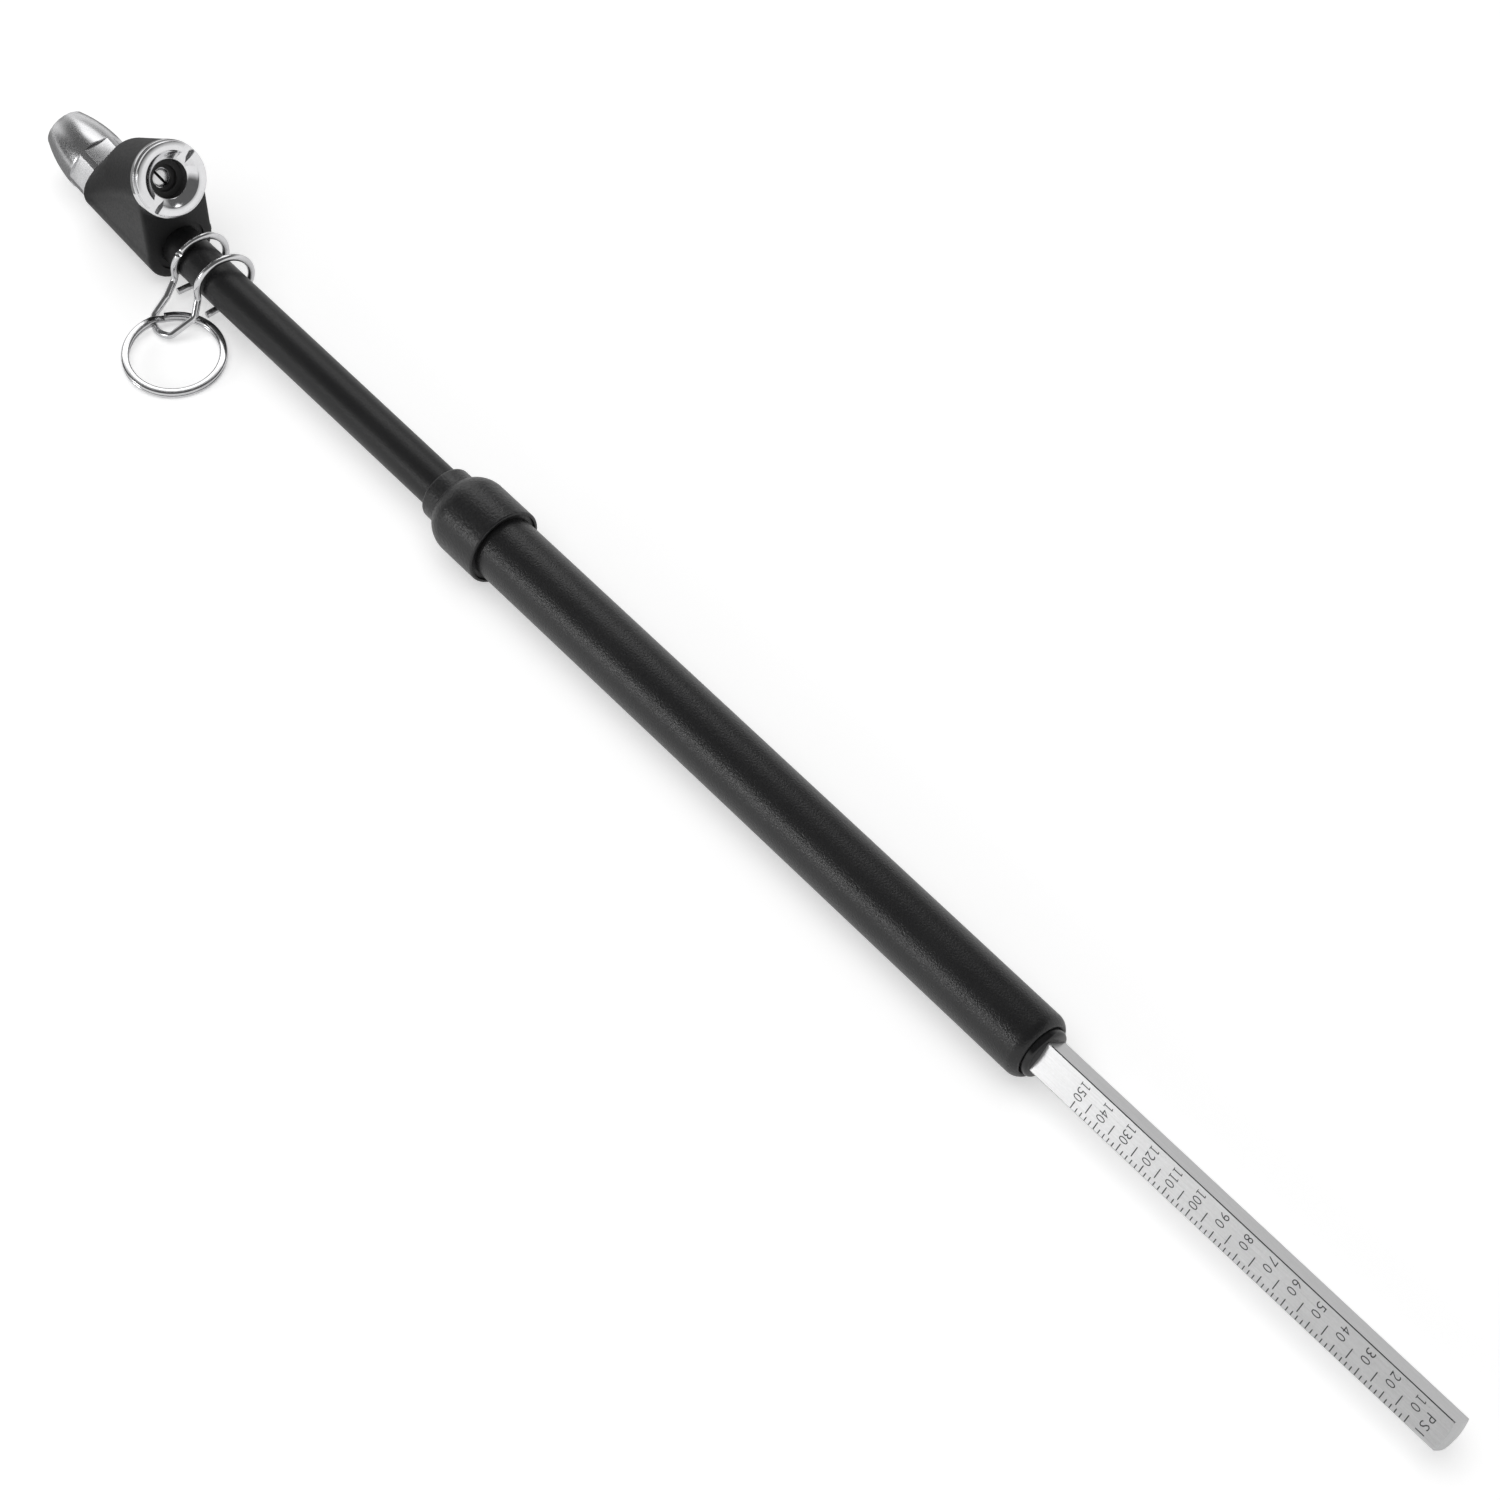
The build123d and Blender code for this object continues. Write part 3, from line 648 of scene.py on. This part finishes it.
# Collar: neck, swelling shoulder, full band, rolled lip and the seal groove inside
collar = turned(
    "collar",
    [
        (-100.4, STEM_HOLE_R),
        *bowed((-100.4, 5.2), (-100.15, 5.85), (-99.5, 6.15), 6),
        *bowed((-96.35, 6.15), (-96.0, 6.27), (-95.8, 6.6), 4),
        *bowed((-95.6, 7.0), (-93.9, 8.17), (-91.0, 8.86), 12),
        (-86.0, 8.86),
        *bowed((-80.75, 8.86), (-80.42, 8.74), (-80.3, 8.42), 5),
        (-80.32, 8.2),
        (-80.45, 8.1),
        (-80.8, 8.05),
        (-80.8, 7.02),
        (-91.5, 7.02),
        (-91.5, STEM_HOLE_R),
        (-93.0, STEM_HOLE_R),
        (-93.0, 5.8),
        (-94.6, 5.8),
        (-94.6, STEM_HOLE_R),
        (-100.4, STEM_HOLE_R),
    ],
    128,
)
along_x(collar)
smooth(collar)
finish(collar, collar_paint, "gauge_body", ["collar_adapter"])

# Barrel, its end rolled in over the plug
barrel = turned(
    "barrel",
    [
        (-90.5, 6.45),
        (-90.5, 7.0),
        (-80.8, 7.0),
        (-80.8, 7.25),
        (0.0, 7.25),
        *bowed((77.7, 7.25), (79.45, 6.83), (80.16, 6.25), 10),
        *bowed((80.2, 6.1), (80.12, 5.72), (79.9, 5.5), 4),
        (79.7, 5.45),
        (79.3, 5.45),
        *bowed((79.3, 5.45), (78.3, 6.17), (77.0, 6.45), 6)[1:],
        (-90.5, 6.45),
    ],
    128,
)
along_x(barrel)
smooth(barrel)
finish(barrel, tube_paint, "gauge_body", ["barrel_tube"])

# End plug with its square guide hole set on a corner
plug = turned(
    "plug",
    [
        (66, 0),
        (66, 6.43),
        (77, 6.43),
        (77, 5.4),
        *bowed((81.1, 5.4), (81.4, 5.25), (81.62, 4.95), 5),
        *bowed((81.7, 4.6), (81.98, 2.5), (82.1, 0), 8),
    ],
    128,
)
cut_with(plug, block("guide_hole", (6.7, 6.7, 20), (0, 0, 75), 45))
cut_with(plug, rod("wiper_seat", 5.22, 65, 68))
along_x(plug)
smooth(plug, 30)
finish(plug, plug_plastic, "gauge_body", ["end_plug"])

# Forward chuck: six sunk flats, a rounded taper and a lipped mouth
CHUCK_R = 7.3
TAPER_START = 5.0
TAPER_RUN = 11.5
TAPER_DROP = 2.15
TAPER_STEPS = 16
taper_r = (TAPER_RUN**2 + TAPER_DROP**2) / (2 * TAPER_DROP)
taper = []
for i in range(TAPER_STEPS + 1):
    run = TAPER_RUN * i / TAPER_STEPS
    taper.append((TAPER_START + run, CHUCK_R - taper_r + sqrt(taper_r**2 - run**2)))
front_chuck = turned(
    "front_chuck",
    [
        (-6, 5.22),
        (-6, 5.6),
        (0, 5.6),
        (0, CHUCK_R - 0.25),
        (0.25, CHUCK_R),
        (4.6, CHUCK_R),
        *taper,
        *bowed((16.7, 5.09), (16.93, 4.94), (16.98, 4.74), 4),
        *bowed((16.96, 4.6), (16.84, 4.42), (16.6, 4.35), 4),
        (11, 4.35),
        (11, 5.22),
        (-6, 5.22),
    ],
    144,
)
# Flats 13.3 mm across and 5.3 mm long from the chuck's shoulder
FLAT_CUT = (2.0, 9.5, 5.4)
FLAT_CUT_R = 7.65
FLAT_CUT_Z = 2.6
for turn in range(30, 390, 60):
    flat_centre = (FLAT_CUT_R * cos(radians(turn)), FLAT_CUT_R * sin(radians(turn)), FLAT_CUT_Z)
    cut_with(front_chuck, block("flat", FLAT_CUT, flat_centre, turn))
soften(front_chuck, 0.07, angle=20)
along_forward(front_chuck)
smooth(front_chuck, 25)
finish(front_chuck, chuck_chrome, "gauge_body", ["straight_chuck"])

# Angled chuck: the flanged body in the boss
rear_chuck = turned(
    "rear_chuck",
    [
        (-1.3, 5.62),
        (-1.3, 8.25),
        *bowed((-1.34, 8.38), (-1.42, 8.46), (-1.55, 8.48), 3),
        *bowed((-2.75, 8.48), (-2.9, 8.44), (-3.0, 8.3), 3),
        (-3.0, 6.6),
        (-11.0, 6.6),
        (-11.0, 3.6),
        (-8.2, 3.6),
        (-8.2, 2.05),
        (-6.05, 2.05),
        (-6.05, 5.62),
        (-1.3, 5.62),
    ],
    144,
)
along_boss(rear_chuck)
smooth(rear_chuck)
finish(rear_chuck, ring_chrome, "gauge_body", ["angled_chuck_body"])

# Angled chuck: the dished front ring with its spanner slot
chuck_ring = turned(
    "chuck_ring",
    [
        (-4.2, 4.2),
        (-4.2, 5.58),
        (-1.25, 5.58),
        (-1.25, 8.0),
        *bowed((-1.2, 8.1), (-1.12, 8.14), (-1.0, 8.15), 3),
        *bowed((-0.25, 8.15), (-0.09, 8.06), (0, 7.9), 4),
        *bowed((0, 6.3), (-0.03, 6.2), (-0.1, 6.1), 3),
        *bowed((-0.35, 5.85), (-0.95, 5.1), (-1.45, 4.35), 6),
        *bowed((-1.55, 4.26), (-1.62, 4.22), (-1.75, 4.2), 3),
        (-4.2, 4.2),
    ],
    144,
)
cut_with(chuck_ring, block("spanner_slot", (20, 2.3, 3.2), (0, 0, 0.4), 31))
soften(chuck_ring, 0.05)
along_boss(chuck_ring)
smooth(chuck_ring, 28)
finish(chuck_ring, ring_chrome, "gauge_body", ["angled_chuck_ring"])

# Angled valve pin: a slotted face with a rounded shoulder, a disc and a tail
rear_pin = turned(
    "rear_pin",
    [
        (-12.5, 0),
        (-12.5, 0.9),
        (-9.8, 0.9),
        (-9.8, 3.2),
        (-9.0, 3.2),
        (-9.0, 2.0),
        *bowed((-7.05, 2.0), (-6.6, 1.9), (-6.42, 1.62), 6),
        (-6.4, 1.5),
        (-6.4, 0),
    ],
    64,
)
cut_with(rear_pin, block("pin_slot", (5, 0.62, 2.4), (0, 0, -6.4), 110))
soften(rear_pin, 0.03, segments=1, angle=40)
# The faces inside the slot get a darker metal, which paints the shade inside the slot
SLOT_FLOOR_Z = -7.7
SLOT_TOP_Z = -6.46
SLOT_REACH = 1.2
slot_faces = [
    face.index
    for face in rear_pin.data.polygons
    if SLOT_FLOOR_Z < face.center.z / MM < SLOT_TOP_Z and face.center.xy.length / MM < SLOT_REACH
]
along_boss(rear_pin)
smooth(rear_pin, 30)
finish(rear_pin, pin_metal, "angled_valve", ["angled_pin"])
rear_pin.data.materials.append(slot_painted_shade)
for i in slot_faces:
    rear_pin.data.polygons[i].material_index = 1

# Indicator bar: a square rod on its corner with a crowned tip
BAR_HALF = 3.3
BAR_START_X = 34.8
BAR_LENGTH = 149.7
corner = BAR_HALF * sqrt(2)
# Each corner is broken by a narrow flat
broken = 0.13
bar = slab(
    "bar",
    [
        (corner - broken, broken),
        (broken, corner - broken),
        (-broken, corner - broken),
        (broken - corner, broken),
        (broken - corner, -broken),
        (-broken, broken - corner),
        (broken, broken - corner),
        (corner - broken, -broken),
    ],
    BAR_LENGTH,
)
along_x(bar, BAR_START_X)
crown = turned(
    "crown",
    [(30, 0), (30, 5.2), (183.4, 5.2), *bowed((183.58, 5.0), (184.268, 2.539), (184.5, 0), 10)],
    128,
)
cut_with(bar, along_x(crown), "INTERSECT")
soften(bar, 0.1, angle=55)
smooth(bar, 12)
finish(bar, bar_metal, "indicator", ["indicator_bar"])

# The scale on the bar's lower front face, read across the bar toward the tick edge. Its
# marks are thin inlays that stand out of the face by MARK_PROUD
scale_right = Vector((0, -sqrt(0.5), -sqrt(0.5)))
scale_face = Vector((0, -sqrt(0.5), sqrt(0.5)))
MARK_DEPTH = 0.03
MARK_PROUD = 0.008
TICK_WIDTH = 0.24
TEN_X = 176.72
MARK_STEP = 0.6006
LETTERS_X = 179.95


def mark_place(x, across):
    """The point on the scale face at x along the bar and so far across from its top edge."""
    height = BAR_HALF - MARK_DEPTH + MARK_PROUD
    return scale_face * height + scale_right * (across - BAR_HALF) + AXIS_X * x


def pressure_x(pressure):
    return TEN_X - (pressure - 10) * MARK_STEP


def stamped_tick(name, length):
    """One thin mark with rounded ends, along local X."""
    half = TICK_WIDTH / 2
    outline = [
        (middle + half * cos(radians(angle)), half * sin(radians(angle)))
        for middle, start in ((length - half, -90), (half, 90))
        for angle in range(start, start + 181, 45)
    ]
    return slab(name, outline, MARK_DEPTH)


def place_mark(pattern, name, x, across):
    mark = copy_of(pattern, name)
    return settle(mark, scale_right, AXIS_X, scale_face, mark_place(x, across))


# Length of each kind of tick, and how far across the face it starts
TICK_KINDS = {"short_tick": (0.95, 5.5), "ten_tick": (1.6, 4.8), "five_tick": (2.2, 3.0)}
tick_patterns = {kind: stamped_tick(kind, length) for kind, (length, _) in TICK_KINDS.items()}


def place_tick(kind, pressure):
    across = TICK_KINDS[kind][1]
    return place_mark(tick_patterns[kind], "tick", pressure_x(pressure), across)


ticks = []
for pressure in range(10, 151, 2):
    ticks.append(place_tick("ten_tick" if pressure % 10 == 0 else "short_tick", pressure))
for pressure in range(15, 150, 10):
    ticks.append(place_tick("five_tick", pressure))
for pattern in tick_patterns.values():
    bpy.data.objects.remove(pattern, do_unlink=True)
scale_ticks = join("scale_ticks", ticks)
finish(scale_ticks, scale_ink_and_corner_reflection, "indicator")

# Sizes of the figures and letters, the height of a capital as a share of the font's size,
# and how much the font's outline is drawn in
SIGN_HEIGHT = 2.1
FIGURE_WIDTH = 1.05
LETTER_WIDTH = 1.1
STROKE_WIDTH = 0.2
CAP_SHARE = 0.72
THINNING = 0.02


def stamped_sign(sign, width):
    """A thin stamped figure or letter, centred on its own middle."""
    deselect()
    bpy.ops.object.text_add()
    text = bpy.context.object
    text.data.body = sign
    text.data.size = SIGN_HEIGHT / CAP_SHARE * MM
    text.data.resolution_u = 3
    text.data.offset = -THINNING * MM
    text.data.extrude = MARK_DEPTH / 2 * MM
    bpy.ops.object.convert(target="MESH")
    figure = bpy.context.object
    figure.name = "sign_" + sign
    low = Vector([min(v.co[k] for v in figure.data.vertices) for k in range(3)])
    high = Vector([max(v.co[k] for v in figure.data.vertices) for k in range(3)])
    middle = (low + high) / 2
    edit_all(figure)
    bpy.ops.transform.translate(value=(-middle.x, -middle.y, -low.z))
    squeeze = (width * MM / (high.x - low.x), SIGN_HEIGHT * MM / (high.y - low.y), 1)
    bpy.ops.transform.resize(value=squeeze, center_override=(0, 0, 0))
    end_edit()
    return figure


def stroke(name, width, height, x=0.0, y=0.0, turn=0.0):
    """A straight stroke of a sign, as thick as the marks are."""
    return block(name, (width, height, MARK_DEPTH), (x, y, MARK_DEPTH / 2), turn)


def stamped_one():
    """The figure one, with a flag at its head and a bar at its foot."""
    upright = stroke("sign_1", STROKE_WIDTH, SIGN_HEIGHT)
    cut_with(upright, stroke("flag", 0.42, 0.18, -0.21, 0.9, 20), "UNION")
    cut_with(upright, stroke("foot", 0.75, 0.17, 0, -0.97), "UNION")
    return upright


figures = {digit: stamped_sign(digit, FIGURE_WIDTH) for digit in "023456789"}
figures["1"] = stamped_one()
letters = {letter: stamped_sign(letter, LETTER_WIDTH) for letter in "PS"}
letters["I"] = stroke("sign_I", STROKE_WIDTH, SIGN_HEIGHT)
# The numbers start near the bar's top edge, and three figures stand closer than two
NUMBER_START = 1.3
FIGURE_PITCH = {2: 1.63, 3: 1.3}
LETTERS_ACROSS = {"P": 2.62, "S": 4.3, "I": 5.77}
signs = []
for pressure in range(10, 151, 10):
    number = str(pressure)
    for i, digit in enumerate(number):
        across = NUMBER_START + i * FIGURE_PITCH[len(number)]
        signs.append(place_mark(figures[digit], "sign", pressure_x(pressure), across))
for letter, across in LETTERS_ACROSS.items():
    signs.append(place_mark(letters[letter], "sign", LETTERS_X, across))
for pattern in list(figures.values()) + list(letters.values()):
    bpy.data.objects.remove(pattern, do_unlink=True)
scale_numbers = join("scale_numbers", signs)
finish(scale_numbers, scale_ink_and_corner_reflection, "indicator")

# Fine dark line along the bar's top corner: a painted dark reflection of the corner's narrow flat
LINE_LENGTH = 100.6
LINE_MIDDLE_X = 132.9
LINE_SINK = 0.135
line_size = (LINE_LENGTH, 0.24, 0.07)
corner_painted_reflection = block("corner_painted_reflection", line_size, (LINE_MIDDLE_X, 0, corner - LINE_SINK))
soften(corner_painted_reflection, 0.02, segments=1, angle=40)
finish(corner_painted_reflection, scale_ink_and_corner_reflection, "indicator")

# Wire clip: two open hoops round the stem joined by a bent eye at the side
HOOP_R = 6.4
CLIP_WIRE_R = 0.79


def hoop(side_x, lean, centre_y, centre_z):
    """Corners of one hoop, which leans toward the head as it goes round."""
    reach = HOOP_R / cos(radians(22.5))
    return [
        (
            side_x - lean * abs(angle) / 180,
            centre_y + reach * cos(radians(angle)),
            centre_z + reach * sin(radians(angle)),
        )
        for angle in (-67.5, -22.5, 22.5, 67.5, 112.5, 157.5)
    ]


# The eye's corners and their bend radii, between the two hoops and their tails
clip_eye = [
    (-188.7, -5.46, -2.2),
    (-187.33, -9.19, -4.8),
    (-187.2, -13.45, -8.05),
    (-183.13, -15.75, -8.05),
    (-179.38, -14.26, -7.25),
    (-177.78, -8.55, -4.25),
    (-179.45, -5.97, -1.22),
]
eye_bends = [2.2, 1.4, 1.6, 5.6, 1.6, 1.6, 1.6]
clip_corners = [
    (-188.16, -5.8, -6.1),
    *hoop(-186.5, 1.75, 0.5, 0.22),
    *clip_eye,
    *reversed(hoop(-177.0, 2.75, 0.57, 0.61)),
    (-178.05, -5.3, -5.75),
]
hoop_bends = [0.96 * HOOP_R] * 6
clip_path = rounded_path(clip_corners, hoop_bends + eye_bends + hoop_bends)
clip_wire = wire_along("clip_wire", clip_path, CLIP_WIRE_R)
soften(clip_wire, 0.18, angle=60)
smooth(clip_wire, 40)
finish(clip_wire, wire_chrome, "clip", ["stem_clip"])

# Key ring: two flat turns of one wire with a step between them. Its section is a rounded
# rectangle, drawn quarter by quarter
SECTION_HALF_WIDTH = 0.87
SECTION_HALF_HEIGHT = 0.415
SECTION_ROUND = 0.36
ring_section = bpy.data.curves.new("ring_section", "CURVE")
ring_section.dimensions = "2D"
section_line = ring_section.splines.new("POLY")
section_points = []
for side_x, side_y, start in ((1, 1, 0), (-1, 1, 90), (-1, -1, 180), (1, -1, 270)):
    round_x = side_x * (SECTION_HALF_WIDTH - SECTION_ROUND)
    round_y = side_y * (SECTION_HALF_HEIGHT - SECTION_ROUND)
    for i in range(5):
        angle = radians(start + 22.5 * i)
        section_points.append(
            (round_x + SECTION_ROUND * cos(angle), round_y + SECTION_ROUND * sin(angle))
        )
section_line.points.add(len(section_points) - 1)
for point, (x, y) in zip(section_line.points, section_points):
    point.co = (x * MM, y * MM, 0, 1)
section_line.use_cyclic_u = True
ring_profile = bpy.data.objects.new("ring_section", ring_section)
bpy.context.scene.collection.objects.link(ring_profile)
# Angles in degrees along the wire: it steps up just before the end of its first turn and
# ends just before that of its second
RING_R = 10.6
HALF_STEP = 0.45
STEP_START = 346
STEP_SPAN = 14
WIRE_END = 707
ring_path = []
for angle in range(0, WIRE_END, 4):
    climb = min(max((angle - STEP_START) / STEP_SPAN, 0), 1)
    height = HALF_STEP * (2 * climb - 1)
    ring_path.append((RING_R * cos(radians(angle)), RING_R * sin(radians(angle)), height))
split_ring = wire_along("split_ring", ring_path, section=ring_profile, z_up=True)
bpy.data.objects.remove(ring_profile, do_unlink=True)
# The ring lies nearly level and slopes down a little away from the head
RING_SLOPE = 0.0792
ring_axis = Vector((RING_SLOPE, -0.01088, 1)).normalized()
ring_x = Vector((1, 0, -RING_SLOPE)).normalized()
ring_y = ring_axis.cross(ring_x)
end_turn = radians(172)
settle(
    split_ring,
    ring_x * cos(end_turn) + ring_y * sin(end_turn),
    ring_y * cos(end_turn) - ring_x * sin(end_turn),
    ring_axis,
    Vector((-174.25, -16.8, -7.1)),
)
soften(split_ring, 0.1, angle=60)
smooth(split_ring, 40)
finish(split_ring, wire_chrome, "ring", ["key_ring"])

# Camera at the photograph's viewing angle
camera_data = bpy.data.cameras.new("camera")
camera = bpy.data.objects.new("camera", camera_data)
bpy.context.scene.collection.objects.link(camera)
view_right = (0.65209, 0.75814, -0.00250)
view_up = (-0.60719, 0.52423, 0.59706)
view_back = (0.45399, -0.38782, 0.80219)
camera_at = (331.67, -285.85, 600.50)
camera.matrix_world = placing(view_right, view_up, view_back, camera_at)
camera_data.sensor_width = 36
camera_data.lens = 91.2
camera_data.clip_start = 0.05
camera_data.clip_end = 20
bpy.context.scene.camera = camera

# White floor: its colour takes the light and the shadow. It glows a little, more toward
# the camera, which brings it up to white, than in reflections
FLOOR_Z = -8.89
CAMERA_GLOW = 0.44
MIRROR_GLOW = 0.2
deselect()
bpy.ops.mesh.primitive_plane_add(size=8, location=(0, 0, FLOOR_Z * MM))
floor = start_piece("floor")
floor_white = bpy.data.materials.new("floor_white")
floor_white.use_nodes = True
floor_tree = floor_white.node_tree
floor_tree.nodes.remove(floor_tree.nodes["Principled BSDF"])
floor_colour = floor_tree.nodes.new("ShaderNodeBsdfDiffuse")
floor_colour.inputs["Color"].default_value = (0.8, 0.8, 0.8, 1)
floor_glow = floor_tree.nodes.new("ShaderNodeEmission")
floor_sum = floor_tree.nodes.new("ShaderNodeAddShader")
ray = floor_tree.nodes.new("ShaderNodeLightPath")
camera_glow = floor_tree.nodes.new("ShaderNodeMath")
camera_glow.operation = "MULTIPLY"
camera_glow.inputs[1].default_value = CAMERA_GLOW
floor_tree.links.new(ray.outputs["Is Camera Ray"], camera_glow.inputs[0])
glow = camera_glow
for kind in ("Is Glossy Ray", "Is Transmission Ray"):
    mirror_glow = floor_tree.nodes.new("ShaderNodeMath")
    mirror_glow.operation = "MULTIPLY_ADD"
    mirror_glow.inputs[1].default_value = MIRROR_GLOW
    floor_tree.links.new(ray.outputs[kind], mirror_glow.inputs[0])
    floor_tree.links.new(glow.outputs["Value"], mirror_glow.inputs[2])
    glow = mirror_glow
floor_tree.links.new(glow.outputs["Value"], floor_glow.inputs["Strength"])
floor_tree.links.new(floor_colour.outputs["BSDF"], floor_sum.inputs[0])
floor_tree.links.new(floor_glow.outputs["Emission"], floor_sum.inputs[1])
floor_tree.links.new(
    floor_sum.outputs["Shader"], floor_tree.nodes["Material Output"].inputs["Surface"]
)
dress(floor, floor_white)


def mirror_card(name, width, height, position, turn, material):
    """A matt card, with its place in metres, that is seen only in reflections."""
    deselect()
    bpy.ops.mesh.primitive_plane_add(size=1, location=position, rotation=turn)
    bpy.context.object.scale = (width, height, 1)
    card = start_piece(name)
    dress(card, material)
    card.visible_camera = False
    card.visible_diffuse = False
    card.visible_shadow = False
    return card


# A grey card lies just above the floor beside the head, where reflections see it as painted shade
# of the floor, and a darker one stands by the chuck
SHADE_CARD_Z = FLOOR_Z + 0.015
# Grey of the card that paints the floor's shade near the head, as seen in reflections
floor_shade_grey = finish_base("floor_shade_grey", (0.3, 0.3, 0.3), 0.9)[0]
card_dark = finish_base("card_dark", (0.12, 0.12, 0.12), 0.9)[0]
floor_shade_card = mirror_card("floor_shade_card", 0.13, 0.11, (-0.29, -0.005, SHADE_CARD_Z * MM), (0, 0, 0), floor_shade_grey)
card_turn = (radians(90), 0, radians(-40.5))
chuck_card = mirror_card("chuck_card", 0.2, 0.28, (-0.47, -0.25, 0.13), card_turn, card_dark)

# Studio: white walls under a dark ceiling. The ramp runs over the height of a direction,
# from 0 at the horizon to 1 straight up
WALL_TOP = 0.34
CEILING_START = 0.62
WALL_WHITE = 0.92
CEILING_GREY = 0.12
# Toward the level direction that the tubes' far side mirrors, the ceiling comes lower
FAR_SIDE = (-0.454, 0.891, 0)
DIP_FROM = 0.78
DIP_HEIGHT = 0.34
world = bpy.data.worlds.new("studio")
bpy.context.scene.world = world
world.use_nodes = True
world_tree = world.node_tree
backdrop = world_tree.nodes["Background"]
backdrop.inputs["Strength"].default_value = 1.0
sky = world_tree.nodes.new("ShaderNodeTexCoord")
parts = world_tree.nodes.new("ShaderNodeSeparateXYZ")
world_tree.links.new(sky.outputs["Generated"], parts.inputs["Vector"])
ceiling = world_tree.nodes.new("ShaderNodeValToRGB")
ramp_ends = ((WALL_TOP, WALL_WHITE), (CEILING_START, CEILING_GREY))
for ramp_end, (height, grey) in zip(ceiling.color_ramp.elements, ramp_ends):
    ramp_end.position = height
    ramp_end.color = (grey, grey, grey, 1)
toward_wall = world_tree.nodes.new("ShaderNodeVectorMath")
toward_wall.operation = "DOT_PRODUCT"
toward_wall.inputs[1].default_value = FAR_SIDE
world_tree.links.new(sky.outputs["Generated"], toward_wall.inputs[0])
wall_dip = world_tree.nodes.new("ShaderNodeMapRange")
wall_dip.inputs["From Min"].default_value = DIP_FROM
wall_dip.inputs["To Max"].default_value = DIP_HEIGHT
world_tree.links.new(toward_wall.outputs["Value"], wall_dip.inputs["Value"])
height_sum = world_tree.nodes.new("ShaderNodeMath")
world_tree.links.new(parts.outputs["Z"], height_sum.inputs[0])
world_tree.links.new(wall_dip.outputs["Result"], height_sum.inputs[1])
world_tree.links.new(height_sum.outputs["Value"], ceiling.inputs["Fac"])
world_tree.links.new(ceiling.outputs["Color"], backdrop.inputs["Color"])


def soft_lamp(name, position, target, width, height, power, in_gloss=True):
    """An area lamp, with its lengths in metres, that the camera doesn't see."""
    lamp_data = bpy.data.lights.new(name, "AREA")
    lamp_data.shape = "RECTANGLE"
    lamp_data.size = width
    lamp_data.size_y = height
    lamp_data.energy = power
    lamp = bpy.data.objects.new(name, lamp_data)
    bpy.context.scene.collection.objects.link(lamp)
    lamp.location = position
    aim = Vector(target) - Vector(position)
    lamp.rotation_euler = aim.to_track_quat("-Z", "Y").to_euler()
    lamp.visible_camera = False
    lamp.visible_glossy = in_gloss
    return lamp


# The overhead lamp lights without a reflection, and the top card is only a reflection
soft_lamp("overhead_lamp", (-0.1, -0.15, 1.3), (0, 0, 0), 1.4, 1.4, power=10.5, in_gloss=False)
soft_lamp("side_lamp", (-0.6, -1.1, 0.47), (0, 0, 0), 0.3, 0.3, power=1.9)
top_card = soft_lamp("top_card", (-0.41, 0.21, 0.3), (-0.21, 0, 0), 0.3, 0.24, power=0.28)
top_card.visible_diffuse = False
soft_lamp("back_card", (-0.7, 0.5, 1.03), (-0.2, 0, 0), 0.8, 0.35, power=0.45)

bpy.context.scene.view_settings.view_transform = "Standard"
